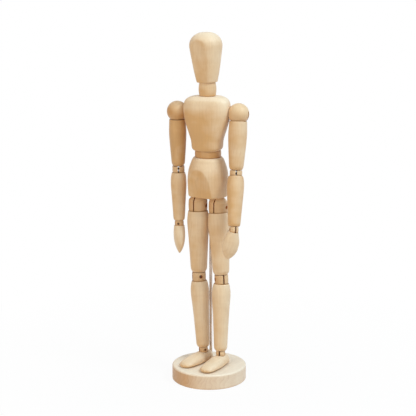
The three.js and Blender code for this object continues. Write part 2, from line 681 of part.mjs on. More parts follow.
function addLeg(pelvis, leg) {
  const hip = addGroup(pelvis, `${leg.name}_hip_turn`, leg.side * HIP_REACH, 0, 0);
  hip.rotation.z = leg.hipSlot * DEGREE;
  addPiece(hip, `${leg.name}_hip`, makeBall(HIP), BALL_WOOD);
  addPiece(hip, `${leg.name}_hip_pin`, makePin(HIP), DARK_STEEL);
  const thigh = addLimb(hip, `${leg.name}_thigh`, THIGH, leg.girth, HIP, KNEE, leg.thigh);
  const knee = addBall(thigh, THIGH.span, `${leg.name}_knee`, KNEE, leg.kneeSlot);
  const shin = addLimb(knee, `${leg.name}_shin`, SHIN, leg.girth, KNEE, ANKLE, leg.shin);
  const ankle = addBall(shin, SHIN.span, `${leg.name}_ankle`, ANKLE, leg.ankleSlot);
  const foot = addGroup(ankle, `${leg.name}_foot_swing`, 0, 0, 0);
  aim(foot, { side: 0, forward: 0 }, leg.footTurn);
  addPiece(foot, `${leg.name}_foot`, makeFoot(), WOOD);
  const hookDepth = ANKLE_HEIGHT - FOOT_HOOK_FLOOR - SEAT_GAP;
  addPiece(foot, `${leg.name}_foot_hook`, makeEndHook(ANKLE, tiltOf(ankle, foot), hookDepth), STEEL);
}

function legDrop(leg) {
  const down = (lean) => Math.cos(lean.side * DEGREE) * Math.cos(lean.forward * DEGREE);
  return THIGH.span * down(leg.thigh) + SHIN.span * down(leg.shin) + ANKLE_HEIGHT;
}

const mannequin = new THREE.Group();
mannequin.name = 'mannequin';

const rodX = -ROD_FROM_BASE_CENTRE * Math.sin(ROD_BEARING * DEGREE);
const rodY = ROD_FROM_BASE_CENTRE * Math.cos(ROD_BEARING * DEGREE);
const hipHeight = BASE_HEIGHT + SOLE_CLEARANCE + Math.max(...LEGS.map(legDrop));
const pelvisBottom = HIP.top + SEAT_GAP;
const pelvisTop = pelvisBottom + PELVIS_HEIGHT;
const waistDrop = domeDrop(WAIST_DOME, WAIST_RADIUS);
const neckDrop = domeDrop(NECK_DOME, NECK_END_RADIUS);

addPiece(mannequin, 'base', makeBase(rodX, rodY), WOOD);

const rodTurn = addGroup(mannequin, 'rod_turn', rodX, rodY, 0);
addPiece(rodTurn, 'rod', makeRod(hipHeight + pelvisBottom + ROD_IN_PELVIS), STEEL);

const pelvis = addGroup(rodTurn, 'figure_lift', 0, -ROD_BEHIND_PELVIS, hipHeight);
addPiece(pelvis, 'pelvis', makePelvis(pelvisBottom), WOOD);
for (const leg of LEGS) {
  const hook = addPiece(pelvis, `${leg.name}_hip_hook`, makeHipHook(pelvisBottom), STEEL);
  hook.position.x = leg.side * HIP_REACH;
  addLeg(pelvis, leg);
}

const waistRim = pelvisTop + SEAT_GAP;
const waist = addGroup(pelvis, 'waist_bend', 0, 0, waistRim + waistDrop);
addPiece(waist, 'waist', makeWaist(), WOOD).position.z = -waistDrop;

const waistTurn = addGroup(waist, 'chest_turn', 0, 0, 0);
waistTurn.rotation.z = CHEST_TURN * DEGREE;
const waistSpringReach = WAIST_BORE_DEPTH - WAIST_SPRING_GAP;
const waistSpring = bar(WAIST_SPRING_RADIUS, -waistSpringReach, WAIST_HEIGHT + waistSpringReach);
addPiece(waistTurn, 'waist_spring', waistSpring, STEEL).position.z = -waistDrop;

const chestPivot = WAIST_HEIGHT - 2 * waistDrop;
const chestSideBend = addGroup(waistTurn, 'chest_side_bend', 0, 0, chestPivot);
chestSideBend.rotation.y = CHEST_TILT * DEGREE;
const chest = addGroup(chestSideBend, 'chest_frame', 0, 0, waistDrop + SEAT_GAP);
addPiece(chest, 'chest', makeChest(), WOOD);
const crossSpring = addPiece(chest, 'chest_cross_spring', makeCrossSpring(), STEEL);
crossSpring.position.z = SHOULDER_HEIGHT;
for (const arm of ARMS) addArm(chest, arm);

const neck = addGroup(chest, 'neck_nod', 0, 0, CHEST_HEIGHT + SEAT_GAP + neckDrop);
addPiece(neck, 'neck', makeNeck(), WOOD).position.z = -neckDrop;

const headTurn = addGroup(neck, 'head_turn', 0, 0, 0);
headTurn.rotation.z = HEAD_TURN * DEGREE;
const neckSpringReach = NECK_BORE_DEPTH - NECK_SPRING_GAP;
const neckSpring = bar(NECK_SPRING_RADIUS, -neckSpringReach, NECK_HEIGHT + neckSpringReach);
addPiece(headTurn, 'neck_spring', neckSpring, STEEL).position.z = -neckDrop;

const headTilt = addGroup(headTurn, 'head_tilt', 0, 0, NECK_HEIGHT - 2 * neckDrop);
headTilt.rotation.y = HEAD_TILT * DEGREE;
addPiece(headTilt, 'head', makeHead(), WOOD).position.z = neckDrop + SEAT_GAP;

export default mannequin;
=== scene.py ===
"""Looks of the wooden mannequin: turned beech pieces, steel rod, pins and springs."""

import json
import math

import bpy
import numpy as np
from mathutils import Matrix, Vector

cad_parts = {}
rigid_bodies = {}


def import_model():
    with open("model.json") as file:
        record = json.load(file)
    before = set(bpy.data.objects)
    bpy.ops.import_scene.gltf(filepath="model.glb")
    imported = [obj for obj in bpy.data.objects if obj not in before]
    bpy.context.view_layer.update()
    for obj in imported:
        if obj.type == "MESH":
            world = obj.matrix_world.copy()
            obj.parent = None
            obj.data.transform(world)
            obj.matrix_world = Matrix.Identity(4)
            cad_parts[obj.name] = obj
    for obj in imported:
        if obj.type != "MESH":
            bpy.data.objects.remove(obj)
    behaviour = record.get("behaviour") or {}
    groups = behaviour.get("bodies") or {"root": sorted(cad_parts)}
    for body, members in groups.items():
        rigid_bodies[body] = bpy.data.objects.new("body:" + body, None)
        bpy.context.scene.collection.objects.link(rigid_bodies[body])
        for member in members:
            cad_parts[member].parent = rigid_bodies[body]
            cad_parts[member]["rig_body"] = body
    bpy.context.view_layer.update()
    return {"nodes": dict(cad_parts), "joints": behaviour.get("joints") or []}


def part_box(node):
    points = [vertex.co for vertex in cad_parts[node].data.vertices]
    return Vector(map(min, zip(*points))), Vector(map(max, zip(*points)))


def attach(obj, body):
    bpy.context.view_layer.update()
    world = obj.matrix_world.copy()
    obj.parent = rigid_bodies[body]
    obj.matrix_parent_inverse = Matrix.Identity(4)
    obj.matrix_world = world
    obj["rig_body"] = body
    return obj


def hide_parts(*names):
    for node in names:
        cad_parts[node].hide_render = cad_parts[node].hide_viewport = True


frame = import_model()

MM = 0.001
TINY = 1e-6
Z = Vector((0, 0, 1))
JOINTS = {joint["name"]: joint for joint in frame["joints"]}

# Sizes in millimetres, as in the CAD except for the hip slots and the form of the feet
BASE_DIAMETER, BASE_HEIGHT, BASE_TOP_ROUND, BASE_FOOT_BEVEL = 64.4, 13, 1.6, 0.6
BASE_RINGS, BASE_RING_SPACING, BASE_UNDER_RING, BASE_TOP_RING, BASE_GRAIN_BEARING = 7, 1.325, 0.5, 0.6, 8
ROD_DIAMETER, ROD_IN_BASE, ROD_IN_PELVIS, ROD_BEHIND_PELVIS, ROD_END_EASE = 2.8, 10, 20, 5.8, 0.3
ROD_FROM_BASE_CENTRE, ROD_BEARING = 18.7, 20.4
SEAT_GAP, PIN_GAP, BORE_GAP, CUP_LIP = 0.3, 0.3, 0.7, 0.4
PELVIS_HEIGHT, PELVIS_TOP_RADIUS, PELVIS_RADIUS, PELVIS_BOTTOM_RADIUS = 34.1, 12.7, 17.6, 16.2
PELVIS_TOP_ROUND, PELVIS_FLAT_BEARING, PELVIS_FLAT_START = 0.6, -9, 25
PELVIS_FLAT_TOP_DEPTH, PELVIS_FLAT_DEPTH, PELVIS_FLAT_EASE = 1.2, 4.2, 0.12
PELVIS_RADII = [(0.026, 0.96), (0.25, 0.994), (0.45, 1), (0.7, 0.938), (0.93, 0.784)]
HIP_REACH, HIP_HOOK_DEPTH, HIP_HOOK_RADIUS = 9.6, 10, 1.26
WAIST_RADIUS, WAIST_HEIGHT, WAIST_DOME, WAIST_BULGE = 11.1, 5.3, 20, 0.2
CHEST_HEIGHT, CHEST_BOTTOM_RADIUS, CHEST_HALF_WIDTH, CHEST_HALF_DEPTH = 46.4, 10.9, 20.3, 13.6
CHEST_TOP_HALF_WIDTH, CHEST_TOP_HALF_DEPTH, CHEST_BACK_TAPER, CHEST_SQUARENESS = 12.5, 8.2, 0.07, 0.76
CHEST_WIDTHS = [
    (0.05, 0.626), (0.17, 0.65), (0.3, 0.74), (0.44, 0.85), (0.59, 0.95),
    (0.77, 1), (0.88, 0.97), (0.95, 0.87), (0.985, 0.73),
]
CHEST_DEPTHS = [(0.05, 0.912), (0.3, 0.97), (0.6, 1), (0.8, 0.96), (0.92, 0.86)]
SHOULDER_HEIGHT, SHOULDER_REACH = 32.2, 27.7
NECK_RADIUS, NECK_END_RADIUS, NECK_HEIGHT, NECK_DOME = 7.6, 6.95, 11, 12
NECK_RADII = [(0.27, 0.98), (0.5, 1), (0.73, 0.98)]
HEAD_HEIGHT, HEAD_RADIUS, HEAD_BOTTOM_RADIUS = 42.2, 14, 8.8
HEAD_RADII = [
    (0.2, 0.76), (0.48, 0.9), (0.68, 0.99), (0.76, 1), (0.85, 0.92), (0.93, 0.72), (0.985, 0.4),
]
FACE_TOP, FACE_TOP_DEPTH, FACE_CHIN_DEPTH, FACE_EASE = 36.4, 1.2, 1.5, 0.3
SPRING_RADIUS, WIRE_RADIUS, EYE_RADIUS = 1.8, 0.45, 1.7
HOOK_MOUTH_RADIUS, HOOK_MOUTH_DEPTH = 2.7, 1.9
NECK_BORE_RADIUS, NECK_BORE_DEPTH, WAIST_BORE_RADIUS, WAIST_BORE_DEPTH = 3.2, 8, 3.4, 12
BOSS_HEIGHT, COLLAR_BULGE, HOLE_DEPTH, SLOT_OVERCUT = 1.2, 0.15, 1.5, 0.2
RIM_FLAT, PIN_EASE = 1.5, 0.3

# Limb balls: radii of collar, ball and boss, height of the top, widths of slot, pin and pin hole
SHOULDER = {"ball": 9, "slot": 1.3, "pin": 1.6, "pin_depth": 5.4, "hole": 3.2, "hole_depth": 2}
ELBOW = {"collar": 5.2, "ball": 5.8, "top": 2.5, "boss": 2.6, "slot": 1.3, "pin": 1.4, "hole": 2.2}
WRIST = {"collar": 3.8, "ball": 4.25, "top": 2.3, "boss": 2, "slot": 1.2, "pin": 1.2, "hole": 2}
HIP = {"collar": 8.1, "ball": 9.1, "top": 8.4, "boss": 2.5, "slot": 1.1, "pin": 1.6, "hole": 3.4}
KNEE = {"collar": 5.9, "ball": 7, "top": 3.4, "boss": 3.6, "slot": 1.3, "pin": 1.6, "hole": 3.2}
ANKLE = {"collar": 3.9, "ball": 4.25, "top": 2, "boss": 2, "slot": 1.3, "pin": 1.2, "hole": 2}

# Turned limbs: pin to pin, radius at the rim and at the lower end, radii at shares of the length
UPPER_ARM = {
    "span": 50.2, "rim": 7.4, "end": 4.9, "radii": [(0.08, 7.5), (0.3, 7.8), (0.6, 7.1), (0.94, 6)],
}
FOREARM = {
    "span": 47.8, "rim": 6, "end": 4.6, "radii": [(0.1, 6.9), (0.26, 7.1), (0.55, 6.3), (0.95, 5.2)],
}
THIGH = {
    "span": 62.9, "rim": 8.5, "end": 5.7, "radii": [(0.07, 9.1), (0.2, 9.55), (0.45, 8.6), (0.95, 7.1)],
}
SHIN = {
    "span": 65.9, "rim": 6.6, "end": 4.6, "radii": [(0.05, 7.4), (0.18, 8.1), (0.5, 6.9), (0.96, 5.8)],
}

HAND_LENGTH, HAND_HOOK_DEPTH, HAND_HALF_WIDTH, HAND_HALF_THICKNESS = 26.4, 10.2, 7, 4.9
HAND_LEAST_HALF = 0.05
HAND_WIDTHS = [
    (0, 0.65), (0.14, 0.78), (0.24, 0.9), (0.4, 1), (0.59, 0.98), (0.75, 0.81), (0.89, 0.5),
    (0.97, 0.2), (1, 0),
]
HAND_THICKNESSES = [(0, 0.93), (0.28, 1), (0.46, 0.95), (0.7, 0.73), (0.89, 0.37), (1, 0.1)]
FOOT_AHEAD, FOOT_BEHIND, FOOT_HALF_WIDTH, FOOT_HEIGHT, ANKLE_HEIGHT = 28.6, 9.6, 7.6, 8, 9
FOOT_WIDTHS = [
    (0, 0), (0.03, 0.52), (0.09, 0.78), (0.24, 0.95), (0.43, 1), (0.64, 0.93), (0.84, 0.84),
    (0.95, 0.62), (1, 0),
]
FOOT_HEIGHTS = [
    (0, 0.2), (0.05, 0.42), (0.15, 0.62), (0.25, 0.72), (0.45, 0.84), (0.65, 0.95), (0.8, 1), (1, 0.75),
]
FOOT_SIDE_POWER, FOOT_TOP_POWER, FOOT_HOOK_FLOOR = 0.8, 1.1, 1
FOOT_RIM_LIFT, FOOT_RIM_INSET = 0.8, 0.6

# Pose at rest in degrees: leans are (to the figure's left, to its front)
CHEST_TURN, CHEST_TILT, HEAD_TURN, HEAD_TILT = 5, -0.4, -14, -2
ARMS = {
    "left": {
        "side": 1, "girth": 1.02, "elbow": 26, "wrist": 48, "turn": 32,
        "upper_arm": (1.1, 8), "forearm": (5.2, 16), "hand": (-11, 5),
    },
    "right": {
        "side": -1, "girth": 0.96, "elbow": 27, "wrist": -75, "turn": -47,
        "upper_arm": (0.4, -1), "forearm": (2.1, 3), "hand": (2.5, 4),
    },
}
LEGS = {
    "left": {"hip": -3, "knee": 46, "ankle": 9, "turn": -5, "thigh": (4.8, 4.1), "shin": (1.5, 4.6)},
    "right": {"hip": -3, "knee": -47, "ankle": -38, "turn": -14, "thigh": (2, 2.6), "shin": (4.9, 2.6)},
}

# How deep each piece's colour is: 0 is pale, 1 deep, and above 1 the wood turns a dark brown, which the
# limbs' rims reach as painted shade
# Besides the wood's own differences, some tones hold painted light: the waist and the right upper arm are
# deeper as painted shade, and the left shoulder is paler as a painted highlight
TONES = {
    "base": 0.6, "pelvis": 0.75, "waist": 1, "chest": 0.55, "neck": 0.85, "head": 0.65, "ball": 0.65,
    "left_shoulder": 0.5, "left_upper_arm": 0.8, "left_forearm": 1,
    "right_shoulder": 0.85, "right_upper_arm": 1.1, "right_forearm": 0.75,
    "left_thigh": 0.65, "left_shin": 0.6, "right_thigh": 0.65, "right_shin": 0.6,
    "hand": 0.55, "foot": 0.75,
}
TONE_LIMIT = 2

# Metal has a tone too, which its materials don't read
METAL_TONE = 0.5

# Painted highlight: what faces up and towards the key lamp's side is paler by this much, falling off by
# this power
PAINTED_HIGHLIGHT, PAINTED_HIGHLIGHT_POWER = 0.65, 1.3
HIGHLIGHT_FACING = np.array([0.45, -0.2, 0.87])

# The limbs' rims are deeper as painted shade where the balls overhang them, and sawn faces within a
# distance of their plane are deeper
RIM_SHADE_DEEPER, RIM_SHADE_WIDTH = 1.4, 0.5
SAWN_DEEPER, SAWN_INSET = 0.05, 0.15

# Painted shade: the chest is deeper below a share of its height, most on its right side and fading out
# towards its left side, which faces the key lamp
CHEST_PAINTED_SHADE, CHEST_SHADE_TOP, CHEST_SHADE_FADE, CHEST_LIT_REACH = 0.45, 0.8, 0.2, 22

# The base's side is deeper on a bearing that runs from the figure's right towards its front
BASE_DEEPER, BASE_DEEP_BEARING, BASE_DEEP_FROM, BASE_DEEP_FADE = 0.5, 40, 0.5, 0.4

# Seeds for where in its wood each piece was cut: swayed across the fibres, stepped along them
SEEDS = {
    "rod": 1, "springs": 2, "base": 3, "pelvis": 5, "waist": 7, "chest": 8, "neck": 11, "head": 13,
    "left_arm": 20, "right_arm": 30, "left_leg": 40, "right_leg": 50,
}
GRAIN_SWAY, GRAIN_SWAY_RATES, GRAIN_STEP = 9, (2.3, 1.7), 137

# Edges that turn by more than this many degrees stay sharp
SHARP_ANGLE = 32


# Places

def spin(degrees, axis="Z"):
    return Matrix.Rotation(math.radians(degrees), 4, axis)


def leaning(lean, bearing=0):
    return spin(-lean[0], "Y") @ spin(-lean[1], "X") @ spin(bearing)


def at_joint(name, turn, offset=0.0):
    """The frame of a piece that hangs on a hinge: turned, then moved along its own Z in millimetres."""
    return Matrix.Translation(Vector(JOINTS[name]["pos_m"])) @ turn @ Matrix.Translation(Z * offset * MM)


def at_hips():
    """The pelvis frame: on the figure's own axis, at the height of the hip pins."""
    axis, pins = JOINTS["waist_bend"]["pos_m"], JOINTS["left_hip_turn"]["pos_m"]
    return Matrix.Translation((axis[0], axis[1], pins[2]))


# Outlines: lists of (radius, height) from the bottom up

def arc(radius, centre, start, end, steps=24):
    angles = np.radians(np.linspace(start, end, steps + 1))
    return [(radius * math.cos(a), centre + radius * math.sin(a)) for a in angles]


def curve(knots, steps=48):
    """Points on a smooth line through the knots."""
    k = np.array(knots, float)
    points = []
    for s in np.linspace(0, len(k) - 1, steps + 1):
        i = min(int(s), len(k) - 2)
        t = s - i
        before, after = k[max(i - 1, 0)], k[min(i + 2, len(k) - 1)]
        a, b = (k[i + 1] - before) / 2, (after - k[i]) / 2
        point = (2 * k[i] - 2 * k[i + 1] + a + b) * t ** 3
        point = point + (3 * k[i + 1] - 3 * k[i] - 2 * a - b) * t ** 2 + a * t + k[i]
        points.append(tuple(point))
    return points


def soften(outline, spacing=0.7, passes=2):
    """The outline in even steps of about the spacing, with its corners eased by each pass."""
    points = np.array(outline, float)
    run = np.r_[0, np.cumsum(np.hypot(*np.diff(points, axis=0).T))]
    at = np.linspace(0, run[-1], max(8, round(run[-1] / spacing)) + 1)
    points = np.c_[np.interp(at, run, points[:, 0]), np.interp(at, run, points[:, 1])]
    for _ in range(passes):
        points[1:-1] = (points[:-2] + 2 * points[1:-1] + points[2:]) / 4
    return points.tolist()


def fair(pairs):
    """A smooth rule through (fraction, value) pairs that doesn't overshoot them."""
    x, y = np.array(pairs, float).T
    step = np.diff(x)
    slope = np.diff(y) / step
    tangent = np.r_[slope[0], np.zeros(len(step) - 1), slope[-1]]
    for i in range(1, len(step)):
        if slope[i - 1] * slope[i] > 0:
            a, b = 2 * step[i] + step[i - 1], step[i] + 2 * step[i - 1]
            tangent[i] = (a + b) / (a / slope[i - 1] + b / slope[i])

    def rule(fraction):
        f = np.clip(fraction, x[0], x[-1])
        i = np.clip(np.searchsorted(x, f) - 1, 0, len(step) - 1)
        t = (f - x[i]) / step[i]
        ease = t * t * (3 - 2 * t)
        rise = tangent[i] * t * (1 - t) ** 2 - tangent[i + 1] * t * t * (1 - t)
        return y[i] + (y[i + 1] - y[i]) * ease + rise * step[i]

    return rule


def dome_drop(dome, radius):
    return math.sqrt(dome * dome - radius * radius)


# Solids, made in millimetres round the origin

def new_piece(name, points, faces):
    mesh = bpy.data.meshes.new(name)
    mesh.from_pydata([tuple(p) for p in points], [], faces)
    piece = bpy.data.objects.new(name, mesh)
    bpy.context.scene.collection.objects.link(piece)
    return piece


def lathe(name, outline, around=72):
    points, rows, faces = [], [], []
    for radius, height in outline:
        if radius < TINY:
            rows.append([len(points)] * around)
            points.append((0, 0, height))
            continue
        rows.append(list(range(len(points), len(points) + around)))
        for i in range(around):
            angle = 2 * math.pi * i / around
            points.append((radius * math.cos(angle), radius * math.sin(angle), height))
    for low, high in zip(rows, rows[1:]):
        for i in range(around):
            j = (i + 1) % around
            corners = [low[i], low[j], high[j], high[i]]
            corners = [c for k, c in enumerate(corners) if c != corners[k - 1]]
            if len(corners) > 2:
                faces.append(corners)
    return new_piece(name, points, faces)


def bar(radius, low, high, around=32):
    return lathe("bar", [(0, low), (radius, low), (radius, high), (0, high)], around)


def sphere(radius, around=72):
    outline = arc(radius, 0, -90, 90, around // 2)
    outline[0], outline[-1] = (0, -radius), (0, radius)
    return lathe("sphere", outline, around)


def box(width, depth, low, high):
    w, d = width / 2, depth / 2
    points = [(x, y, z) for z in (low, high) for x, y in ((-w, -d), (w, -d), (w, d), (-w, d))]
    faces = [(0, 3, 2, 1), (4, 5, 6, 7), (0, 1, 5, 4), (1, 2, 6, 5), (2, 3, 7, 6), (3, 0, 4, 7)]
    return new_piece("box", points, faces)


def moved(piece, x=0.0, y=0.0, z=0.0, turn=None):
    piece.data.transform(Matrix.Translation((x, y, z)) @ (turn or Matrix.Identity(4)))
    return piece


def along_x(piece):
    return moved(piece, turn=spin(90, "Y"))


def reshape(piece, rule):
    """Moves the corners of a piece by a rule on the columns x, y and z."""
    co = np.zeros(len(piece.data.vertices) * 3)
    piece.data.vertices.foreach_get("co", co)
    x, y, z = co.reshape(-1, 3).T
    piece.data.vertices.foreach_set("co", np.column_stack(rule(x, y, z)).ravel())
    piece.data.update()
    return piece


def saw(piece, point, normal, ease):
    """Takes off what stands outside a plane, and leaves a slightly sanded edge."""
    n = np.array(normal, float)
    n /= np.linalg.norm(n)

    def rule(x, y, z):
        v = np.column_stack([x, y, z])
        out = (v - np.array(point, float)) @ n
        kept = -ease * np.logaddexp(0, -out / ease)
        v = v + np.outer(kept - out, n)
        return v.T

    return reshape(piece, rule)


def cut(piece, *cutters, raw_shaded=False):
    """Takes the cutters away from the piece. Raw cuts are lined with unvarnished wood, which is also
    darker and browner than the surface as painted shade in the slots, bores and holes.
    """
    if raw_shaded:
        for cutter in cutters:
            cutter.data.materials.append(MATERIALS["raw_shaded_wood"])
    for cutter in cutters:
        modifier = piece.modifiers.new("cut", "BOOLEAN")
        modifier.operation, modifier.solver, modifier.object = "DIFFERENCE", "EXACT", cutter
        modifier.material_mode = "TRANSFER"
    graph = bpy.context.evaluated_depsgraph_get()
    mesh = bpy.data.meshes.new_from_object(piece.evaluated_get(graph))
    piece.modifiers.clear()
    piece.data = mesh
    for cutter in cutters:
        bpy.data.objects.remove(cutter)
    return piece


# Materials

def colour(red, green, blue):
    """A colour from its 0 to 255 screen values."""
    def linear(value):
        value /= 255
        return value / 12.92 if value <= 0.04045 else ((value + 0.055) / 1.055) ** 2.4

    return (linear(red), linear(green), linear(blue), 1.0)


class Tree:
    """The nodes of a material or world, each added by one call."""

    def __init__(self, owner):
        owner.use_nodes = True
        self.owner, self.tree = owner, owner.node_tree
        self.tree.nodes.clear()

    def add(self, kind, sockets=None, **settings):
        node = self.tree.nodes.new("ShaderNode" + kind)
        for key, value in settings.items():
            setattr(node, key, value)
        for key, value in (sockets or {}).items():
            if isinstance(value, bpy.types.NodeSocket):
                self.tree.links.new(value, node.inputs[key])
            else:
                node.inputs[key].default_value = value
        return node

    def math(self, operation, a, b=0.0):
        return self.add("Math", {0: a, 1: b}, operation=operation).outputs[0]

    def plus(self, a, b):
        return self.math("ADD", a, b)

    def minus(self, a, b):
        return self.math("SUBTRACT", a, b)

    def times(self, a, b):
        return self.math("MULTIPLY", a, b)

    def least(self, a, b):
        return self.math("MINIMUM", a, b)

    def most(self, a, b):
        return self.math("MAXIMUM", a, b)

    def mix(self, factor, a, b):
        return self.add("Mix", {"Factor": factor, 6: a, 7: b}, data_type="RGBA").outputs[2]

    def ramp(self, value, stops):
        node = self.add("ValToRGB", {"Fac": value})
        elements = node.color_ramp.elements
        for element, (position, level) in zip(elements, stops[:2]):
            element.position, element.color = position, (level, level, level, 1)
        for position, level in stops[2:]:
            elements.new(position).color = (level, level, level, 1)
        return node.outputs["Color"]

    def noise(self, place, scale, detail, roughness=0.5):
        stretched = self.add("Mapping", {"Vector": place, "Scale": scale}).outputs[0]
        sockets = {"Vector": stretched, "Scale": 1.0, "Detail": detail, "Roughness": roughness}
        return self.add("TexNoise", sockets).outputs["Fac"]

    def layer(self, place, name):
        """A noise of the table of layers, raised to run from 0 to 1."""
        scale, detail, roughness, low, high = LAYERS[name]
        return self.ramp(self.noise(place, scale, detail, roughness), [(low, 0.0), (high, 1.0)])

    def finish(self, sockets):
        shader = self.add("BsdfPrincipled", sockets)
        self.add("OutputMaterial", {"Surface": shader.outputs[0]})
        return self.owner


# Noise of the materials: its scale along the three grain coordinates, detail and roughness,
# and the two levels between which it rises from 0 to 1
LAYERS = {
    "pore": ((2.6, 2.6, 0.42), 2.0, 0.5, 0.64, 0.74),
    "cloud": ((0.11, 0.11, 0.035), 2.0, 0.5, 0.35, 0.68),
    "patch": ((0.06, 0.06, 0.05), 2.0, 0.5, 0.38, 0.62),
    "blotch": ((0.045, 0.045, 0.08), 2.0, 0.55, 0.36, 0.64),
    "lathed": ((0.015, 0.015, 0.4), 3.0, 0.5, 0.4, 0.62),
    "stain": ((0.3, 0.3, 0.09), 3.0, 0.5, 0.4, 0.7),
}
WANDER_SCALE, WANDER = (0.07, 0.07, 0.018), 16.0
RIPPLE_SCALE, RIPPLE = (0.25, 0.25, 0.05), 2.2
FIBRE_SCALE, FIBRE_DETAIL, FIBRE_ROUGHNESS = (0.8, 0.8, 0.05), 4.0, 0.6
SCRATCH_SCALE = (6.0, 6.0, 0.05)
YEAR_STOPS = [(0.0, 0.15), (0.62, 0.5), (0.86, 1.0), (0.97, 0.15)]
STREAK_STOPS = [(0.36, 0.0), (0.66, 1.0)]

# How much each layer counts in the colour
CLOUD_SHARE, BLOTCH_SHARE, CLOUD_LEVEL, CLOUD_TONE = 0.25, 0.35, 0.15, 0.2
BROWN_SHARE, STREAK_SHARE, LATHED_SHARE, PORE_SHARE, STAIN_SHARE = 0.25, 0.1, 0.04, 0.25, 0.35

# How much streaks, scratches and stains roughen, and how deep pores and scratches are
STREAK_ROUGHNESS, SCRATCH_ROUGHNESS, PORE_DEPTH = 0.1, 0.12, 0.5
WOOD_BUMP = {"Strength": 0.25, "Distance": 0.00006}
STEEL_BUMP = {"Strength": 0.2, "Distance": 0.00003}

# A dark brown for the deepest clouds and for tones above 1; on the limbs' rims it is painted shade
WOOD_LINE, DEEP_BROWN_AND_SHADE = colour(186, 138, 88), colour(120, 78, 42)
STAINED, SCRATCHED = colour(128, 104, 84), colour(238, 234, 230)


def wood(name, pale, deep, line, centre, ring, strength, rough=0.46, mottle=1.0):
    """Wood whose fibres run along the third grain coordinate, in millimetres.

    centre is where the tree's heart lies from the piece, ring the spacing of its years,
    strength how much they show, rough its roughness, and mottle how strong the clouds are."""
    t = Tree(bpy.data.materials.new(name))
    place = t.add("Attribute", attribute_name="grain").outputs["Vector"]
    tone = t.add("Attribute", attribute_name="tone").outputs["Fac"]
    parts = t.add("SeparateXYZ", {0: place})

    wander = t.times(t.noise(place, WANDER_SCALE, 2.0), WANDER)
    ripple = t.times(t.noise(place, RIPPLE_SCALE, 2.0), RIPPLE)
    across = t.plus(t.minus(parts.outputs[0], centre[0]), t.plus(wander, ripple))
    inward = t.minus(parts.outputs[1], centre[1])
    square = t.plus(t.times(across, across), t.times(inward, inward))
    years = t.math("FRACT", t.math("DIVIDE", t.math("SQRT", square), ring))

    late = t.ramp(years, YEAR_STOPS)
    fibre = t.noise(place, FIBRE_SCALE, FIBRE_DETAIL, FIBRE_ROUGHNESS)
    streak = t.ramp(fibre, STREAK_STOPS)
    pore, lathed, patch = (t.layer(place, layer) for layer in ("pore", "lathed", "patch"))
    cloud = t.times(t.layer(place, "cloud"), CLOUD_SHARE)
    clouds = t.plus(cloud, t.times(t.layer(place, "blotch"), BLOTCH_SHARE))

    tanned = t.times(t.least(t.plus(tone, CLOUD_TONE), 1.0), mottle)
    varied = t.plus(tone, t.times(t.minus(clouds, CLOUD_LEVEL), tanned))
    body = t.mix(t.most(t.least(varied, 1.0), 0.0), pale, deep)
    browned = t.most(t.minus(varied, 1.0), 0.0)
    body = t.mix(t.times(browned, BROWN_SHARE), body, DEEP_BROWN_AND_SHADE)
    lined = t.times(t.times(late, patch), t.least(tone, 1.0))
    body = t.mix(t.times(lined, strength), body, line)
    body = t.mix(t.times(streak, STREAK_SHARE), body, line)
    body = t.mix(t.times(lathed, LATHED_SHARE), body, line)
    body = t.mix(t.times(pore, PORE_SHARE), body, line)
    # Tones above 1 turn the wood dark brown: painted shade on the limbs' rims
    body = t.mix(t.most(t.minus(tone, 1.0), 0.0), body, DEEP_BROWN_AND_SHADE)

    grade = t.plus(t.times(streak, STREAK_ROUGHNESS), rough)
    height = t.minus(fibre, t.times(pore, PORE_DEPTH))
    bump = t.add("Bump", {"Height": height, **WOOD_BUMP}).outputs[0]
    return t.finish({
        "Base Color": body, "Roughness": grade, "Normal": bump, "Specular IOR Level": 0.5,
        "Sheen Weight": 0.25, "Sheen Roughness": 0.5,
    })


def steel(name, base, rough, streaks):
    """Drawn steel with fine scratches along the third grain coordinate and faint stains."""
    t = Tree(bpy.data.materials.new(name))
    place = t.add("Attribute", attribute_name="grain").outputs["Vector"]
    scratch = t.noise(place, SCRATCH_SCALE, 3.0)
    stain = t.layer(place, "stain")
    dull = t.mix(t.times(stain, STAIN_SHARE), base, STAINED)
    body = t.mix(t.times(scratch, streaks), dull, SCRATCHED)
    grade = t.plus(t.times(t.plus(scratch, stain), SCRATCH_ROUGHNESS), rough)
    bump = t.add("Bump", {"Height": scratch, **STEEL_BUMP}).outputs[0]
    return t.finish({"Base Color": body, "Metallic": 1.0, "Roughness": grade, "Normal": bump})


MATERIALS = {
    "limb_wood": wood(
        "limb_wood", colour(252, 234, 203), colour(216, 168, 108), WOOD_LINE,
        centre=(46, 24), ring=2.6, strength=0.36, mottle=0.75,
    ),
    "joint_wood": wood(
        "joint_wood", colour(242, 214, 172), colour(202, 148, 86), WOOD_LINE,
        centre=(30, -22), ring=2.2, strength=0.26,
    ),
    "base_wood": wood(
        "base_wood", colour(255, 244, 222), colour(214, 170, 122), colour(190, 138, 90),
        centre=(-16, -14), ring=3.4, strength=0.75, mottle=0.4,
    ),
    # Raw wood inside cuts: unvarnished, and darker and browner than the surface as painted shade in
    # slots, bores and holes
    "raw_shaded_wood": wood(
        "raw_shaded_wood", colour(205, 138, 76), colour(185, 114, 56), colour(148, 88, 42),
        centre=(40, 10), ring=2.0, strength=0.3, rough=0.7,
    ),
    "rod_steel": steel("rod_steel", colour(222, 206, 194), rough=0.14, streaks=0.3),
    "pin_steel": steel("pin_steel", colour(112, 88, 64), rough=0.4, streaks=0.15),
    "spring_steel": steel("spring_steel", colour(112, 80, 52), rough=0.4, streaks=0.15),
}


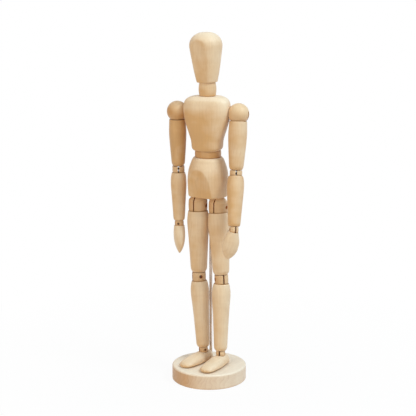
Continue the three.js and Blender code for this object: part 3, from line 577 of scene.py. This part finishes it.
def mark_grain(mesh, seed, tone, scale=1.0, turn=None):
    """Stores where each corner lies in its own wood, in millimetres, and how deep its colour is.

    scale brings the mesh to millimetres, and turn leads from the piece's axes to the fibres'."""
    co = np.zeros(len(mesh.vertices) * 3)
    mesh.vertices.foreach_get("co", co)
    co = co.reshape(-1, 3) * scale
    if turn is not None:
        co = co @ np.array(turn.to_3x3()).T
    sway, rates = GRAIN_SWAY, GRAIN_SWAY_RATES
    shift = [math.sin(seed * rates[0]) * sway, math.cos(seed * rates[1]) * sway, seed * GRAIN_STEP]
    grain = mesh.attributes.new("grain", "FLOAT_VECTOR", "POINT")
    grain.data.foreach_set("vector", (co + np.array(shift)).astype(np.float32).ravel())
    level = mesh.attributes.new("tone", "FLOAT", "POINT")
    level.data.foreach_set("value", np.zeros(len(mesh.vertices), np.float32) + np.float32(tone))


def tone_with_painted_light(mesh, place, tone, deepen=None):
    """The tone at each corner, paler where it faces the lamps as a painted highlight, and deeper by a
    rule on x, y and z.
    """
    normals = np.zeros(len(mesh.vertices) * 3)
    mesh.vertex_normals.foreach_get("vector", normals)
    lit = normals.reshape(-1, 3) @ np.array(place.to_3x3()).T @ HIGHLIGHT_FACING
    # Painted highlight: corners facing up and towards the key lamp's side get a paler tone
    tones = tone - PAINTED_HIGHLIGHT * np.clip(lit, 0, 1) ** PAINTED_HIGHLIGHT_POWER
    if deepen:
        co = np.zeros(len(mesh.vertices) * 3)
        mesh.vertices.foreach_get("co", co)
        tones = tones + deepen(*co.reshape(-1, 3).T)
    return np.clip(tones, 0, TONE_LIMIT).astype(np.float32)


def dress(piece, node, place, slot, seed, tone=METAL_TONE, turn=None, deepen=None):
    """Puts a finished solid in its place, on its body, instead of its CAD node."""
    piece.name = node + "_" + slot.split("_")[-1]
    mesh = piece.data
    mesh.name = piece.name
    if mesh.materials:
        mesh.materials[0] = MATERIALS[slot]
    else:
        mesh.materials.append(MATERIALS[slot])
    mark_grain(mesh, seed, tone_with_painted_light(mesh, place, tone, deepen), turn=turn)
    mesh.transform(Matrix.Scale(MM, 4))
    mesh.polygons.foreach_set("use_smooth", [True] * len(mesh.polygons))
    mesh.set_sharp_from_angle(angle=math.radians(SHARP_ANGLE))
    piece.matrix_world = place
    body = frame["nodes"][node]["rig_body"]
    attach(piece, body)
    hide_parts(node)


def plain(name, outline, around=72):
    """A turned solid with room for its own material in the first slot."""
    piece = lathe(name, outline, around)
    piece.data.materials.append(MATERIALS["limb_wood"])
    return piece


# Pieces

def make_base():
    radius = BASE_DIAMETER / 2
    shoulder = arc(BASE_TOP_ROUND, BASE_HEIGHT - BASE_TOP_ROUND, 0, 90, steps=10)
    outline = [(0, 0), (radius * BASE_UNDER_RING, 0)]
    outline += [(radius - BASE_FOOT_BEVEL, 0), (radius, BASE_FOOT_BEVEL)]
    outline += [(radius, BASE_FOOT_BEVEL + BASE_RING_SPACING * (i + 1)) for i in range(BASE_RINGS)]
    outline += [(radius - BASE_TOP_ROUND + r, h) for r, h in shoulder]
    outline += [(radius * BASE_TOP_RING, BASE_HEIGHT), (0, BASE_HEIGHT)]
    piece = plain("base", outline, around=144)
    floor = BASE_HEIGHT - ROD_IN_BASE - SEAT_GAP
    hole = bar(ROD_DIAMETER / 2 + SEAT_GAP, floor, BASE_HEIGHT + 1, around=48)
    bearing = math.radians(ROD_BEARING)
    moved(hole, -ROD_FROM_BASE_CENTRE * math.sin(bearing), ROD_FROM_BASE_CENTRE * math.cos(bearing))
    cut(piece, hole, raw_shaded=True)
    deep = math.radians(BASE_DEEP_BEARING)

    def deepen(x, y, z):
        out = -(x * math.cos(deep) + y * math.sin(deep)) / radius
        side = z < BASE_HEIGHT - BASE_TOP_ROUND
        return BASE_DEEPER * np.clip((out - BASE_DEEP_FROM) / BASE_DEEP_FADE, 0, 1) * side

    turn = spin(90, "X") @ spin(BASE_GRAIN_BEARING)
    dress(piece, "base", Matrix.Identity(4), "base_wood", SEEDS["base"], TONES["base"], turn, deepen)


def make_rod():
    low, high = (corner.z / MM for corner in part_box("rod"))
    radius, ease, rings = ROD_DIAMETER / 2, ROD_END_EASE, 40
    outline = [(0, low), (radius - ease, low), (radius, low + ease)]
    outline += [(radius, low + ease + (high - low - 2 * ease) * i / rings) for i in range(1, rings)]
    outline += [(radius, high - ease), (radius - ease, high), (0, high)]
    place = at_joint("rod_turn", Matrix.Identity(4))
    place.translation.z = 0
    dress(lathe("rod", outline, around=48), "rod", place, "rod_steel", SEEDS["rod"])


def make_pelvis():
    bottom = HIP["top"] + SEAT_GAP
    top = bottom + PELVIS_HEIGHT
    outline = [(0, bottom), (PELVIS_BOTTOM_RADIUS, bottom)]
    outline += curve([(PELVIS_RADIUS * share, bottom + PELVIS_HEIGHT * f) for f, share in PELVIS_RADII])
    outline += [(PELVIS_TOP_RADIUS, top - PELVIS_TOP_ROUND)]
    outline += [(PELVIS_TOP_RADIUS - PELVIS_TOP_ROUND, top), (0, top)]
    piece = plain("pelvis", soften(outline, spacing=0.6, passes=1), around=128)
    slope = math.atan2(PELVIS_FLAT_DEPTH, PELVIS_FLAT_START)
    flats = []
    for facing in (0, 180):
        turn = spin(PELVIS_FLAT_BEARING + facing)
        point = turn @ Vector((0, PELVIS_FLAT_TOP_DEPTH - PELVIS_RADIUS, bottom + PELVIS_FLAT_START))
        flats.append((point, turn @ Vector((0, -math.cos(slope), -math.sin(slope)))))
        saw(piece, *flats[-1], PELVIS_FLAT_EASE)
    seat_centre = top + SEAT_GAP + dome_drop(WAIST_DOME, WAIST_RADIUS)
    cut(piece, moved(sphere(WAIST_DOME + SEAT_GAP, around=96), z=seat_centre))
    rod_hole = bar(ROD_DIAMETER / 2 + SEAT_GAP, bottom - 1, bottom + ROD_IN_PELVIS + SEAT_GAP)
    waist_bore = bar(WAIST_BORE_RADIUS, top - WAIST_BORE_DEPTH, top + 1)
    cutters = [waist_bore, moved(rod_hole, y=ROD_BEHIND_PELVIS)]
    for side in (1, -1):
        recess = bar(HIP["boss"] + SEAT_GAP, bottom - 1, bottom + BOSS_HEIGHT + SEAT_GAP)
        bore = bar(HIP_HOOK_RADIUS + SEAT_GAP, bottom, bottom + HIP_HOOK_DEPTH + SEAT_GAP)
        cutters += [moved(recess, side * HIP_REACH), moved(bore, side * HIP_REACH)]
    cut(piece, *cutters, raw_shaded=True)

    def deepen(x, y, z):
        corners = np.column_stack([x, y, z])
        insets = [(np.array(point) - corners) @ np.array(normal) for point, normal in flats]
        return SAWN_DEEPER * (np.minimum(*insets) < SAWN_INSET)

    dress(piece, "pelvis", at_hips(), "limb_wood", SEEDS["pelvis"], TONES["pelvis"], deepen=deepen)


def make_barrel(node, place, middle, end_radius, height, dome, bore, slot):
    """A short turning with a dome at each end, bored through for its spring."""
    half = math.degrees(math.asin(end_radius / dome))
    drop = dome_drop(dome, end_radius)
    outline = arc(dome, drop, -90, -90 + half) + middle + arc(dome, height - drop, 90 - half, 90)
    outline[0], outline[-1] = (0, outline[0][1]), (0, outline[-1][1])
    piece = plain(node, soften(outline, spacing=0.45, passes=1), around=96)
    cut(piece, bar(bore, -dome, 2 * dome), raw_shaded=True)
    dress(piece, node, place, slot, SEEDS[node], TONES[node])


def make_waist():
    swell = [(f, WAIST_BULGE * math.sin(math.pi * f)) for f in (0.25, 0.5, 0.75)]
    middle = [(WAIST_RADIUS + bulge, WAIST_HEIGHT * f) for f, bulge in swell]
    place = at_joint("waist_bend", Matrix.Identity(4), -dome_drop(WAIST_DOME, WAIST_RADIUS))
    sizes = (WAIST_RADIUS, WAIST_HEIGHT, WAIST_DOME, WAIST_BORE_RADIUS)
    make_barrel("waist", place, middle, *sizes, "joint_wood")


CHEST_TURNED = spin(CHEST_TURN) @ spin(CHEST_TILT, "Y")


def make_chest():
    widths = [(0, CHEST_BOTTOM_RADIUS)] + [(f, CHEST_HALF_WIDTH * share) for f, share in CHEST_WIDTHS]
    depths = [(0, CHEST_BOTTOM_RADIUS)] + [(f, CHEST_HALF_DEPTH * share) for f, share in CHEST_DEPTHS]
    widths.append((1, CHEST_TOP_HALF_WIDTH))
    depths.append((1, CHEST_TOP_HALF_DEPTH))
    half_width, half_depth = fair(widths), fair(depths)
    fractions = np.linspace(0, 1, 160)
    outline = [(0, 0)] + [(half_width(f), f * CHEST_HEIGHT) for f in fractions] + [(0, CHEST_HEIGHT)]
    piece = plain("chest", soften(outline, spacing=0.6), around=144)

    def rule(x, y, z):
        half = half_width(z / CHEST_HEIGHT)
        across = np.sign(x) * np.abs(x / half) ** CHEST_SQUARENESS
        back = np.sign(y) * np.abs(y / half) ** CHEST_SQUARENESS
        return across * half * (1 - CHEST_BACK_TAPER * back), back * half_depth(z / CHEST_HEIGHT), z

    reshape(piece, rule)
    waist_drop, neck_drop = dome_drop(WAIST_DOME, WAIST_RADIUS), dome_drop(NECK_DOME, NECK_END_RADIUS)
    seats = [
        moved(sphere(WAIST_DOME + SEAT_GAP, around=96), z=-SEAT_GAP - waist_drop),
        moved(sphere(NECK_DOME + SEAT_GAP), z=CHEST_HEIGHT + SEAT_GAP + neck_drop),
    ]
    for side in (1, -1):
        seat = sphere(SHOULDER["ball"] + SEAT_GAP, around=96)
        seats.append(moved(seat, side * SHOULDER_REACH, z=SHOULDER_HEIGHT))
    cut(piece, *seats)
    cross_bore = along_x(bar(SPRING_RADIUS + BORE_GAP, -SHOULDER_REACH, SHOULDER_REACH))
    bores = [
        bar(WAIST_BORE_RADIUS, -1, WAIST_BORE_DEPTH),
        bar(NECK_BORE_RADIUS, CHEST_HEIGHT - NECK_BORE_DEPTH, CHEST_HEIGHT + 1),
        moved(cross_bore, z=SHOULDER_HEIGHT),
    ]
    cut(piece, *bores, raw_shaded=True)

    # Painted shade on the lower chest, strongest away from the key lamp's side
    def deepen(x, y, z):
        below = np.clip((CHEST_SHADE_TOP - z / CHEST_HEIGHT) / CHEST_SHADE_FADE, 0, 1)
        return CHEST_PAINTED_SHADE * below * np.clip(1 - x / CHEST_LIT_REACH, 0, 1)

    place = at_joint("chest_side_bend", CHEST_TURNED, waist_drop + SEAT_GAP)
    dress(piece, "chest", place, "limb_wood", SEEDS["chest"], TONES["chest"], deepen=deepen)


def make_neck():
    middle = [(NECK_RADIUS * share, NECK_HEIGHT * f) for f, share in NECK_RADII]
    place = at_joint("neck_nod", CHEST_TURNED, -dome_drop(NECK_DOME, NECK_END_RADIUS))
    sizes = (NECK_END_RADIUS, NECK_HEIGHT, NECK_DOME, NECK_BORE_RADIUS)
    make_barrel("neck", place, middle, *sizes, "limb_wood")


def make_head():
    knots = [(HEAD_RADIUS * share, HEAD_HEIGHT * f) for f, share in HEAD_RADII]
    outline = [(0, 0)] + curve([(HEAD_BOTTOM_RADIUS, 0)] + knots + [(0, HEAD_HEIGHT)], steps=96)
    outline[-1] = (0, HEAD_HEIGHT)
    piece = plain("head", soften(outline, spacing=0.6, passes=1), around=128)
    top_depth, chin_depth = HEAD_RADIUS - FACE_TOP_DEPTH, HEAD_BOTTOM_RADIUS - FACE_CHIN_DEPTH
    slope = math.atan2(top_depth - chin_depth, FACE_TOP)
    saw(piece, (0, -top_depth, FACE_TOP), (0, -math.cos(slope), -math.sin(slope)), FACE_EASE)
    drop = dome_drop(NECK_DOME, NECK_END_RADIUS)
    cut(piece, moved(sphere(NECK_DOME + SEAT_GAP), z=-SEAT_GAP - drop))
    cut(piece, bar(NECK_BORE_RADIUS, -1, NECK_BORE_DEPTH), raw_shaded=True)
    turn = CHEST_TURNED @ spin(HEAD_TURN) @ spin(HEAD_TILT, "Y")
    place = at_joint("head_tilt", turn, drop + SEAT_GAP)
    dress(piece, "head", place, "limb_wood", SEEDS["head"], TONES["head"])


def make_ball(node, ball, place, seed):
    radius, collar, top = ball["ball"], ball["collar"], ball["top"]
    belt = math.degrees(math.acos(collar / radius))
    crown = math.degrees(math.asin(top / radius))
    outline = arc(radius, 0, -90, -belt)
    outline[0] = (0, -radius)
    outline.append((collar + COLLAR_BULGE, 0))
    if crown > belt + 1:
        outline += arc(radius, 0, belt, crown)
    else:
        outline.append((collar, top))
    outline = soften(outline, spacing=0.35, passes=1)
    outline += [(ball["boss"], top), (ball["boss"], top + BOSS_HEIGHT), (0, top + BOSS_HEIGHT)]
    piece = plain(node, outline)
    reach = 2 * radius
    slot = box(ball["slot"], 2 * reach, -reach, top + SLOT_OVERCUT)
    throat = box(ball["slot"], 4 * WIRE_RADIUS, 0, reach)
    pin_hole = along_x(bar(ball["pin"] / 2 + PIN_GAP, -reach, reach))
    mouths = []
    for side in (1, -1):
        mouth = along_x(bar(ball["hole"] / 2, collar - HOLE_DEPTH, reach))
        mouths.append(moved(mouth, turn=spin(90 - 90 * side)))
    cut(piece, slot, throat, pin_hole, *mouths, raw_shaded=True)
    dress(piece, node, place, "joint_wood", seed, TONES["ball"])
    half = collar - HOLE_DEPTH
    make_pin(node + "_pin", ball["pin"] / 2, -half, half, place, spin(90, "Y"), seed)


def make_pin(node, radius, low, high, place, turn, seed):
    ease = radius * PIN_EASE
    outline = [(0, low), (radius - ease, low), (radius, low + ease)]
    outline += [(radius, high - ease), (radius - ease, high), (0, high)]
    dress(lathe(node, outline, around=32), node, place @ turn, "pin_steel", seed)


def make_shoulder(node, side, seed):
    place = at_joint(node + "_spin", CHEST_TURNED)
    reach = 2 * SHOULDER["ball"]
    piece = sphere(SHOULDER["ball"], around=96)
    piece.data.materials.append(MATERIALS["joint_wood"])
    slot = box(reach + EYE_RADIUS + SEAT_GAP, SHOULDER["slot"], -reach, EYE_RADIUS + SEAT_GAP)
    moved(slot, side * (reach - EYE_RADIUS - SEAT_GAP) / 2)
    throat = moved(along_x(bar(2 * WIRE_RADIUS, 0, reach)), turn=spin(90 + 90 * side))
    lengthwise = spin(-90, "X")
    blind, end = SHOULDER["pin_depth"], SHOULDER["ball"] - SHOULDER["hole_depth"]
    pin_hole = moved(bar(SHOULDER["pin"] / 2 + PIN_GAP, -blind, reach), turn=lengthwise)
    mouth = moved(bar(SHOULDER["hole"] / 2, end, reach), turn=lengthwise)
    cut(piece, slot, throat, pin_hole, mouth, raw_shaded=True)
    dress(piece, node, place, "joint_wood", seed, TONES[node])
    make_pin(node + "_pin", SHOULDER["pin"] / 2, PIN_GAP - blind, end, place, lengthwise, seed)


def make_limb(node, limb, girth, upper, lower, place, seed):
    cup = upper["ball"] + SEAT_GAP
    rim, end = limb["rim"] * girth, limb["end"] * girth
    top = -dome_drop(cup, rim - CUP_LIP)
    bottom = -limb["span"] + lower["top"] + SEAT_GAP
    knots = [(radius * girth, top - share * (top - bottom)) for share, radius in reversed(limb["radii"])]
    outline = [(0, bottom), (end, bottom)] + curve(knots) + [(rim, top), (rim - RIM_FLAT, top)]
    piece = plain(node, soften(outline) + [(0, top)])
    cut(piece, sphere(cup, around=96))
    bore = bar(SPRING_RADIUS + BORE_GAP, bottom - 1, 1)
    recess = bar(lower["boss"] + SEAT_GAP, bottom - 1, bottom + BOSS_HEIGHT + SEAT_GAP)
    cut(piece, bore, recess, raw_shaded=True)

    # Painted shade: a dark band along the rim, under the ball that overhangs it
    def deepen(x, y, z):
        return RIM_SHADE_DEEPER * (z > top - RIM_SHADE_WIDTH)

    dress(piece, node, place, "limb_wood", seed, TONES[node], deepen=deepen)


def hook_hole(ball, depth):
    """The cutters for the hook of a ball, with a wider mouth under its seat."""
    mouth = bar(HOOK_MOUTH_RADIUS, -ball["ball"] - HOOK_MOUTH_DEPTH, 0)
    return [mouth, bar(WIRE_RADIUS * 2 + SEAT_GAP, -depth - SEAT_GAP, 0)]


def make_hand(node, place, seed):
    top = -dome_drop(WRIST["ball"] + SEAT_GAP, HAND_HALF_WIDTH * HAND_WIDTHS[0][1] - CUP_LIP)
    length = HAND_LENGTH + top
    width, thickness = fair(HAND_WIDTHS), fair(HAND_THICKNESSES)
    outline = [(HAND_HALF_WIDTH * width(f), top - f * length) for f in np.linspace(1, 0, 120)]
    outline[0] = (0, -HAND_LENGTH)
    piece = plain(node, soften(outline, spacing=0.5) + [(0, top)], around=96)

    def rule(x, y, z):
        fraction = (top - z) / length
        half = np.maximum(HAND_HALF_WIDTH * width(fraction), HAND_LEAST_HALF)
        return x, y * np.minimum(1, HAND_HALF_THICKNESS * thickness(fraction) / half), z

    reshape(piece, rule)
    cut(piece, sphere(WRIST["ball"] + SEAT_GAP))
    cut(piece, *hook_hole(WRIST, HAND_HOOK_DEPTH), raw_shaded=True)
    dress(piece, node, place, "limb_wood", seed, TONES["hand"])


def make_foot(node, place, seed):
    length = FOOT_AHEAD + FOOT_BEHIND
    width, tall = fair(FOOT_WIDTHS), fair(FOOT_HEIGHTS)
    outline = [(FOOT_HALF_WIDTH * width(f), f * length) for f in np.linspace(0, 1, 160)]
    outline[0], outline[-1] = (0, 0), (0, length)
    piece = plain(node, soften(outline, spacing=0.5, passes=1), around=128)

    def rule(x, y, z):
        radius, on_axis = np.maximum(np.hypot(x, y), TINY), np.hypot(x, y) <= TINY
        upward = np.maximum(0, y / radius) * ~on_axis
        across = x / radius
        side = np.sign(across) * np.abs(across) ** FOOT_SIDE_POWER * radius
        height = FOOT_HEIGHT * tall(z / length) - FOOT_RIM_LIFT
        downward = np.maximum(0, -y / radius) + on_axis
        rim = FOOT_RIM_LIFT * np.clip(1 - downward / FOOT_RIM_INSET, 0, 1)
        return -side, z - FOOT_AHEAD, -ANKLE_HEIGHT + rim + height * upward ** FOOT_TOP_POWER

    reshape(piece, rule)
    cut(piece, sphere(ANKLE["ball"] + SEAT_GAP))
    cut(piece, *hook_hole(ANKLE, ANKLE_HEIGHT - FOOT_HOOK_FLOOR - SEAT_GAP), raw_shaded=True)
    dress(piece, node, place, "limb_wood", seed, TONES["foot"], turn=spin(90, "X"))


def make_arm(name, arm, seed):
    shoulder, elbow, wrist = name + "_shoulder_spin", name + "_elbow_turn", name + "_wrist_turn"
    upper, fore, girth = leaning(arm["upper_arm"]), leaning(arm["forearm"]), arm["girth"]
    make_shoulder(name + "_shoulder", arm["side"], seed)
    make_limb(name + "_upper_arm", UPPER_ARM, girth, SHOULDER, ELBOW, at_joint(shoulder, upper), seed + 1)
    make_ball(name + "_elbow", ELBOW, at_joint(elbow, upper @ spin(arm["elbow"])), seed + 2)
    make_limb(name + "_forearm", FOREARM, girth, ELBOW, WRIST, at_joint(elbow, fore), seed + 3)
    make_ball(name + "_wrist", WRIST, at_joint(wrist, fore @ spin(arm["wrist"])), seed + 4)
    make_hand(name + "_hand", at_joint(wrist, leaning(arm["hand"], arm["turn"])), seed + 5)


def make_leg(name, leg, seed):
    hip, knee, ankle = name + "_hip_turn", name + "_knee_turn", name + "_ankle_turn"
    thigh, shin = leaning(leg["thigh"]), leaning(leg["shin"])
    make_ball(name + "_hip", HIP, at_joint(hip, spin(leg["hip"])), seed)
    make_limb(name + "_thigh", THIGH, 1, HIP, KNEE, at_joint(hip, thigh), seed + 1)
    make_ball(name + "_knee", KNEE, at_joint(knee, thigh @ spin(leg["knee"])), seed + 2)
    make_limb(name + "_shin", SHIN, 1, KNEE, ANKLE, at_joint(knee, shin), seed + 3)
    make_ball(name + "_ankle", ANKLE, at_joint(ankle, shin @ spin(leg["ankle"])), seed + 4)
    make_foot(name + "_foot", at_joint(ankle, spin(leg["turn"])), seed + 5)


def make_figure():
    make_base()
    make_rod()
    make_pelvis()
    make_waist()
    make_chest()
    make_neck()
    make_head()
    for name, arm in ARMS.items():
        make_arm(name, arm, SEEDS[name + "_arm"])
    for name, leg in LEGS.items():
        make_leg(name, leg, SEEDS[name + "_leg"])

    # Springs and hooks keep their CAD meshes
    for piece in frame["nodes"].values():
        if not piece.hide_render:
            piece.data.materials.clear()
            piece.data.materials.append(MATERIALS["spring_steel"])
            mark_grain(piece.data, SEEDS["springs"], METAL_TONE, 1 / MM)


# Stage: pale floor, soft light and the camera

CAMERA_BEARING, CAMERA_PITCH, CAMERA_YAW = 25, 12.3685, 0.055
CAMERA_DISTANCE, CAMERA_HEIGHT = 1.040, 0.38013
CAMERA_LENS, CAMERA_SENSOR, CAMERA_NEAR, CAMERA_FAR = 108.07, 36, 0.05, 50

# The floor's glow is weaker at the figure's feet than farther away
FLOOR_GREY, FLOOR_RADIUS, FLOOR_DEPTH = 0.86, 6, 0.001
GLOW_NEAR, GLOW_FAR, GLOW_AT_FEET = 0.04, 0.3, 0.94

# Lamps: place as (right, near, up) from the camera's side, size, power and tint
ROOM_LIGHT = 0.45
LAMP_TARGET = Vector((0, 0, 0.15))
LAMPS = {
    "key": ((0.8, 0.45, 1.25), 0.5, 10.4, (0.82, 0.93, 1)),
    "fill": ((-1.05, 1.05, 0.3), 1.2, 7.2, (1, 0.86, 0.66)),
    "top": ((-0.2, 0.1, 1.4), 0.8, 1.9, (0.7, 0.88, 1)),
}


def from_camera(right, near, up):
    """A point by how far it is to the camera's right, towards the camera and up, in metres."""
    sine, cosine = math.sin(math.radians(CAMERA_BEARING)), math.cos(math.radians(CAMERA_BEARING))
    return Vector((right * cosine + near * sine, right * sine - near * cosine, up))


def add_camera():
    data = bpy.data.cameras.new("camera")
    data.lens, data.sensor_width = CAMERA_LENS, CAMERA_SENSOR
    data.clip_start, data.clip_end = CAMERA_NEAR, CAMERA_FAR
    camera = bpy.data.objects.new("camera", data)
    bpy.context.scene.collection.objects.link(camera)
    camera.location = from_camera(0, CAMERA_DISTANCE, CAMERA_HEIGHT)
    pitch = math.radians(CAMERA_PITCH)
    forward = spin(CAMERA_YAW).to_3x3() @ from_camera(0, -math.cos(pitch), -math.sin(pitch))
    camera.rotation_mode = "QUATERNION"
    camera.rotation_quaternion = forward.to_track_quat("-Z", "Y")
    bpy.context.scene.camera = camera


def add_lamp(name, place, size, power, tint):
    data = bpy.data.lights.new(name, "AREA")
    data.shape, data.size, data.energy, data.color = "DISK", size, power, tint
    lamp = bpy.data.objects.new(name, data)
    bpy.context.scene.collection.objects.link(lamp)
    lamp.location = place
    lamp.rotation_mode = "QUATERNION"
    lamp.rotation_quaternion = (LAMP_TARGET - place).to_track_quat("-Z", "Y")


def seen_directly(t):
    """1 for rays from the camera, a mirror or glass, else 0."""
    path = t.add("LightPath")
    seen = t.plus(path.outputs["Is Camera Ray"], path.outputs["Is Glossy Ray"])
    return t.least(t.plus(seen, path.outputs["Is Transmission Ray"]), 1.0)


def add_floor():
    t = Tree(bpy.data.materials.new("floor"))
    diffuse = t.add("BsdfDiffuse", {"Color": (FLOOR_GREY, FLOOR_GREY, FLOOR_GREY, 1)})
    glow = t.add("Emission", {"Color": (1, 1, 1, 1), "Strength": 1.0})
    place = t.add("NewGeometry").outputs["Position"]
    away = t.add("VectorMath", {0: place}, operation="LENGTH").outputs["Value"]
    rise = {"Value": away, 1: GLOW_NEAR, 2: GLOW_FAR, 3: GLOW_AT_FEET, 4: 1.0}
    share = t.times(seen_directly(t), t.add("MapRange", rise).outputs["Result"])
    both = t.add("MixShader", {0: share, 1: diffuse.outputs[0], 2: glow.outputs[0]})
    t.add("OutputMaterial", {"Surface": both.outputs[0]})
    outline = [(0, -FLOOR_DEPTH), (FLOOR_RADIUS, -FLOOR_DEPTH), (FLOOR_RADIUS, 0), (0, 0)]
    floor = lathe("floor", outline, around=64)
    floor.data.materials.append(t.owner)


def add_world():
    """White where it is seen directly, and the room's light elsewhere."""
    world = bpy.data.worlds.new("world")
    bpy.context.scene.world = world
    t = Tree(world)
    room = t.add("Background", {"Color": (1, 1, 1, 1), "Strength": ROOM_LIGHT})
    white = t.add("Background", {"Color": (1, 1, 1, 1), "Strength": 1.0})
    both = t.add("MixShader", {0: seen_directly(t), 1: room.outputs[0], 2: white.outputs[0]})
    t.add("OutputWorld", {"Surface": both.outputs[0]})


make_figure()
add_camera()
add_floor()
add_world()
for lamp_name, (lamp_place, *lamp_settings) in LAMPS.items():
    add_lamp(lamp_name, from_camera(*lamp_place), *lamp_settings)
bpy.context.scene.view_settings.view_transform = "Standard"
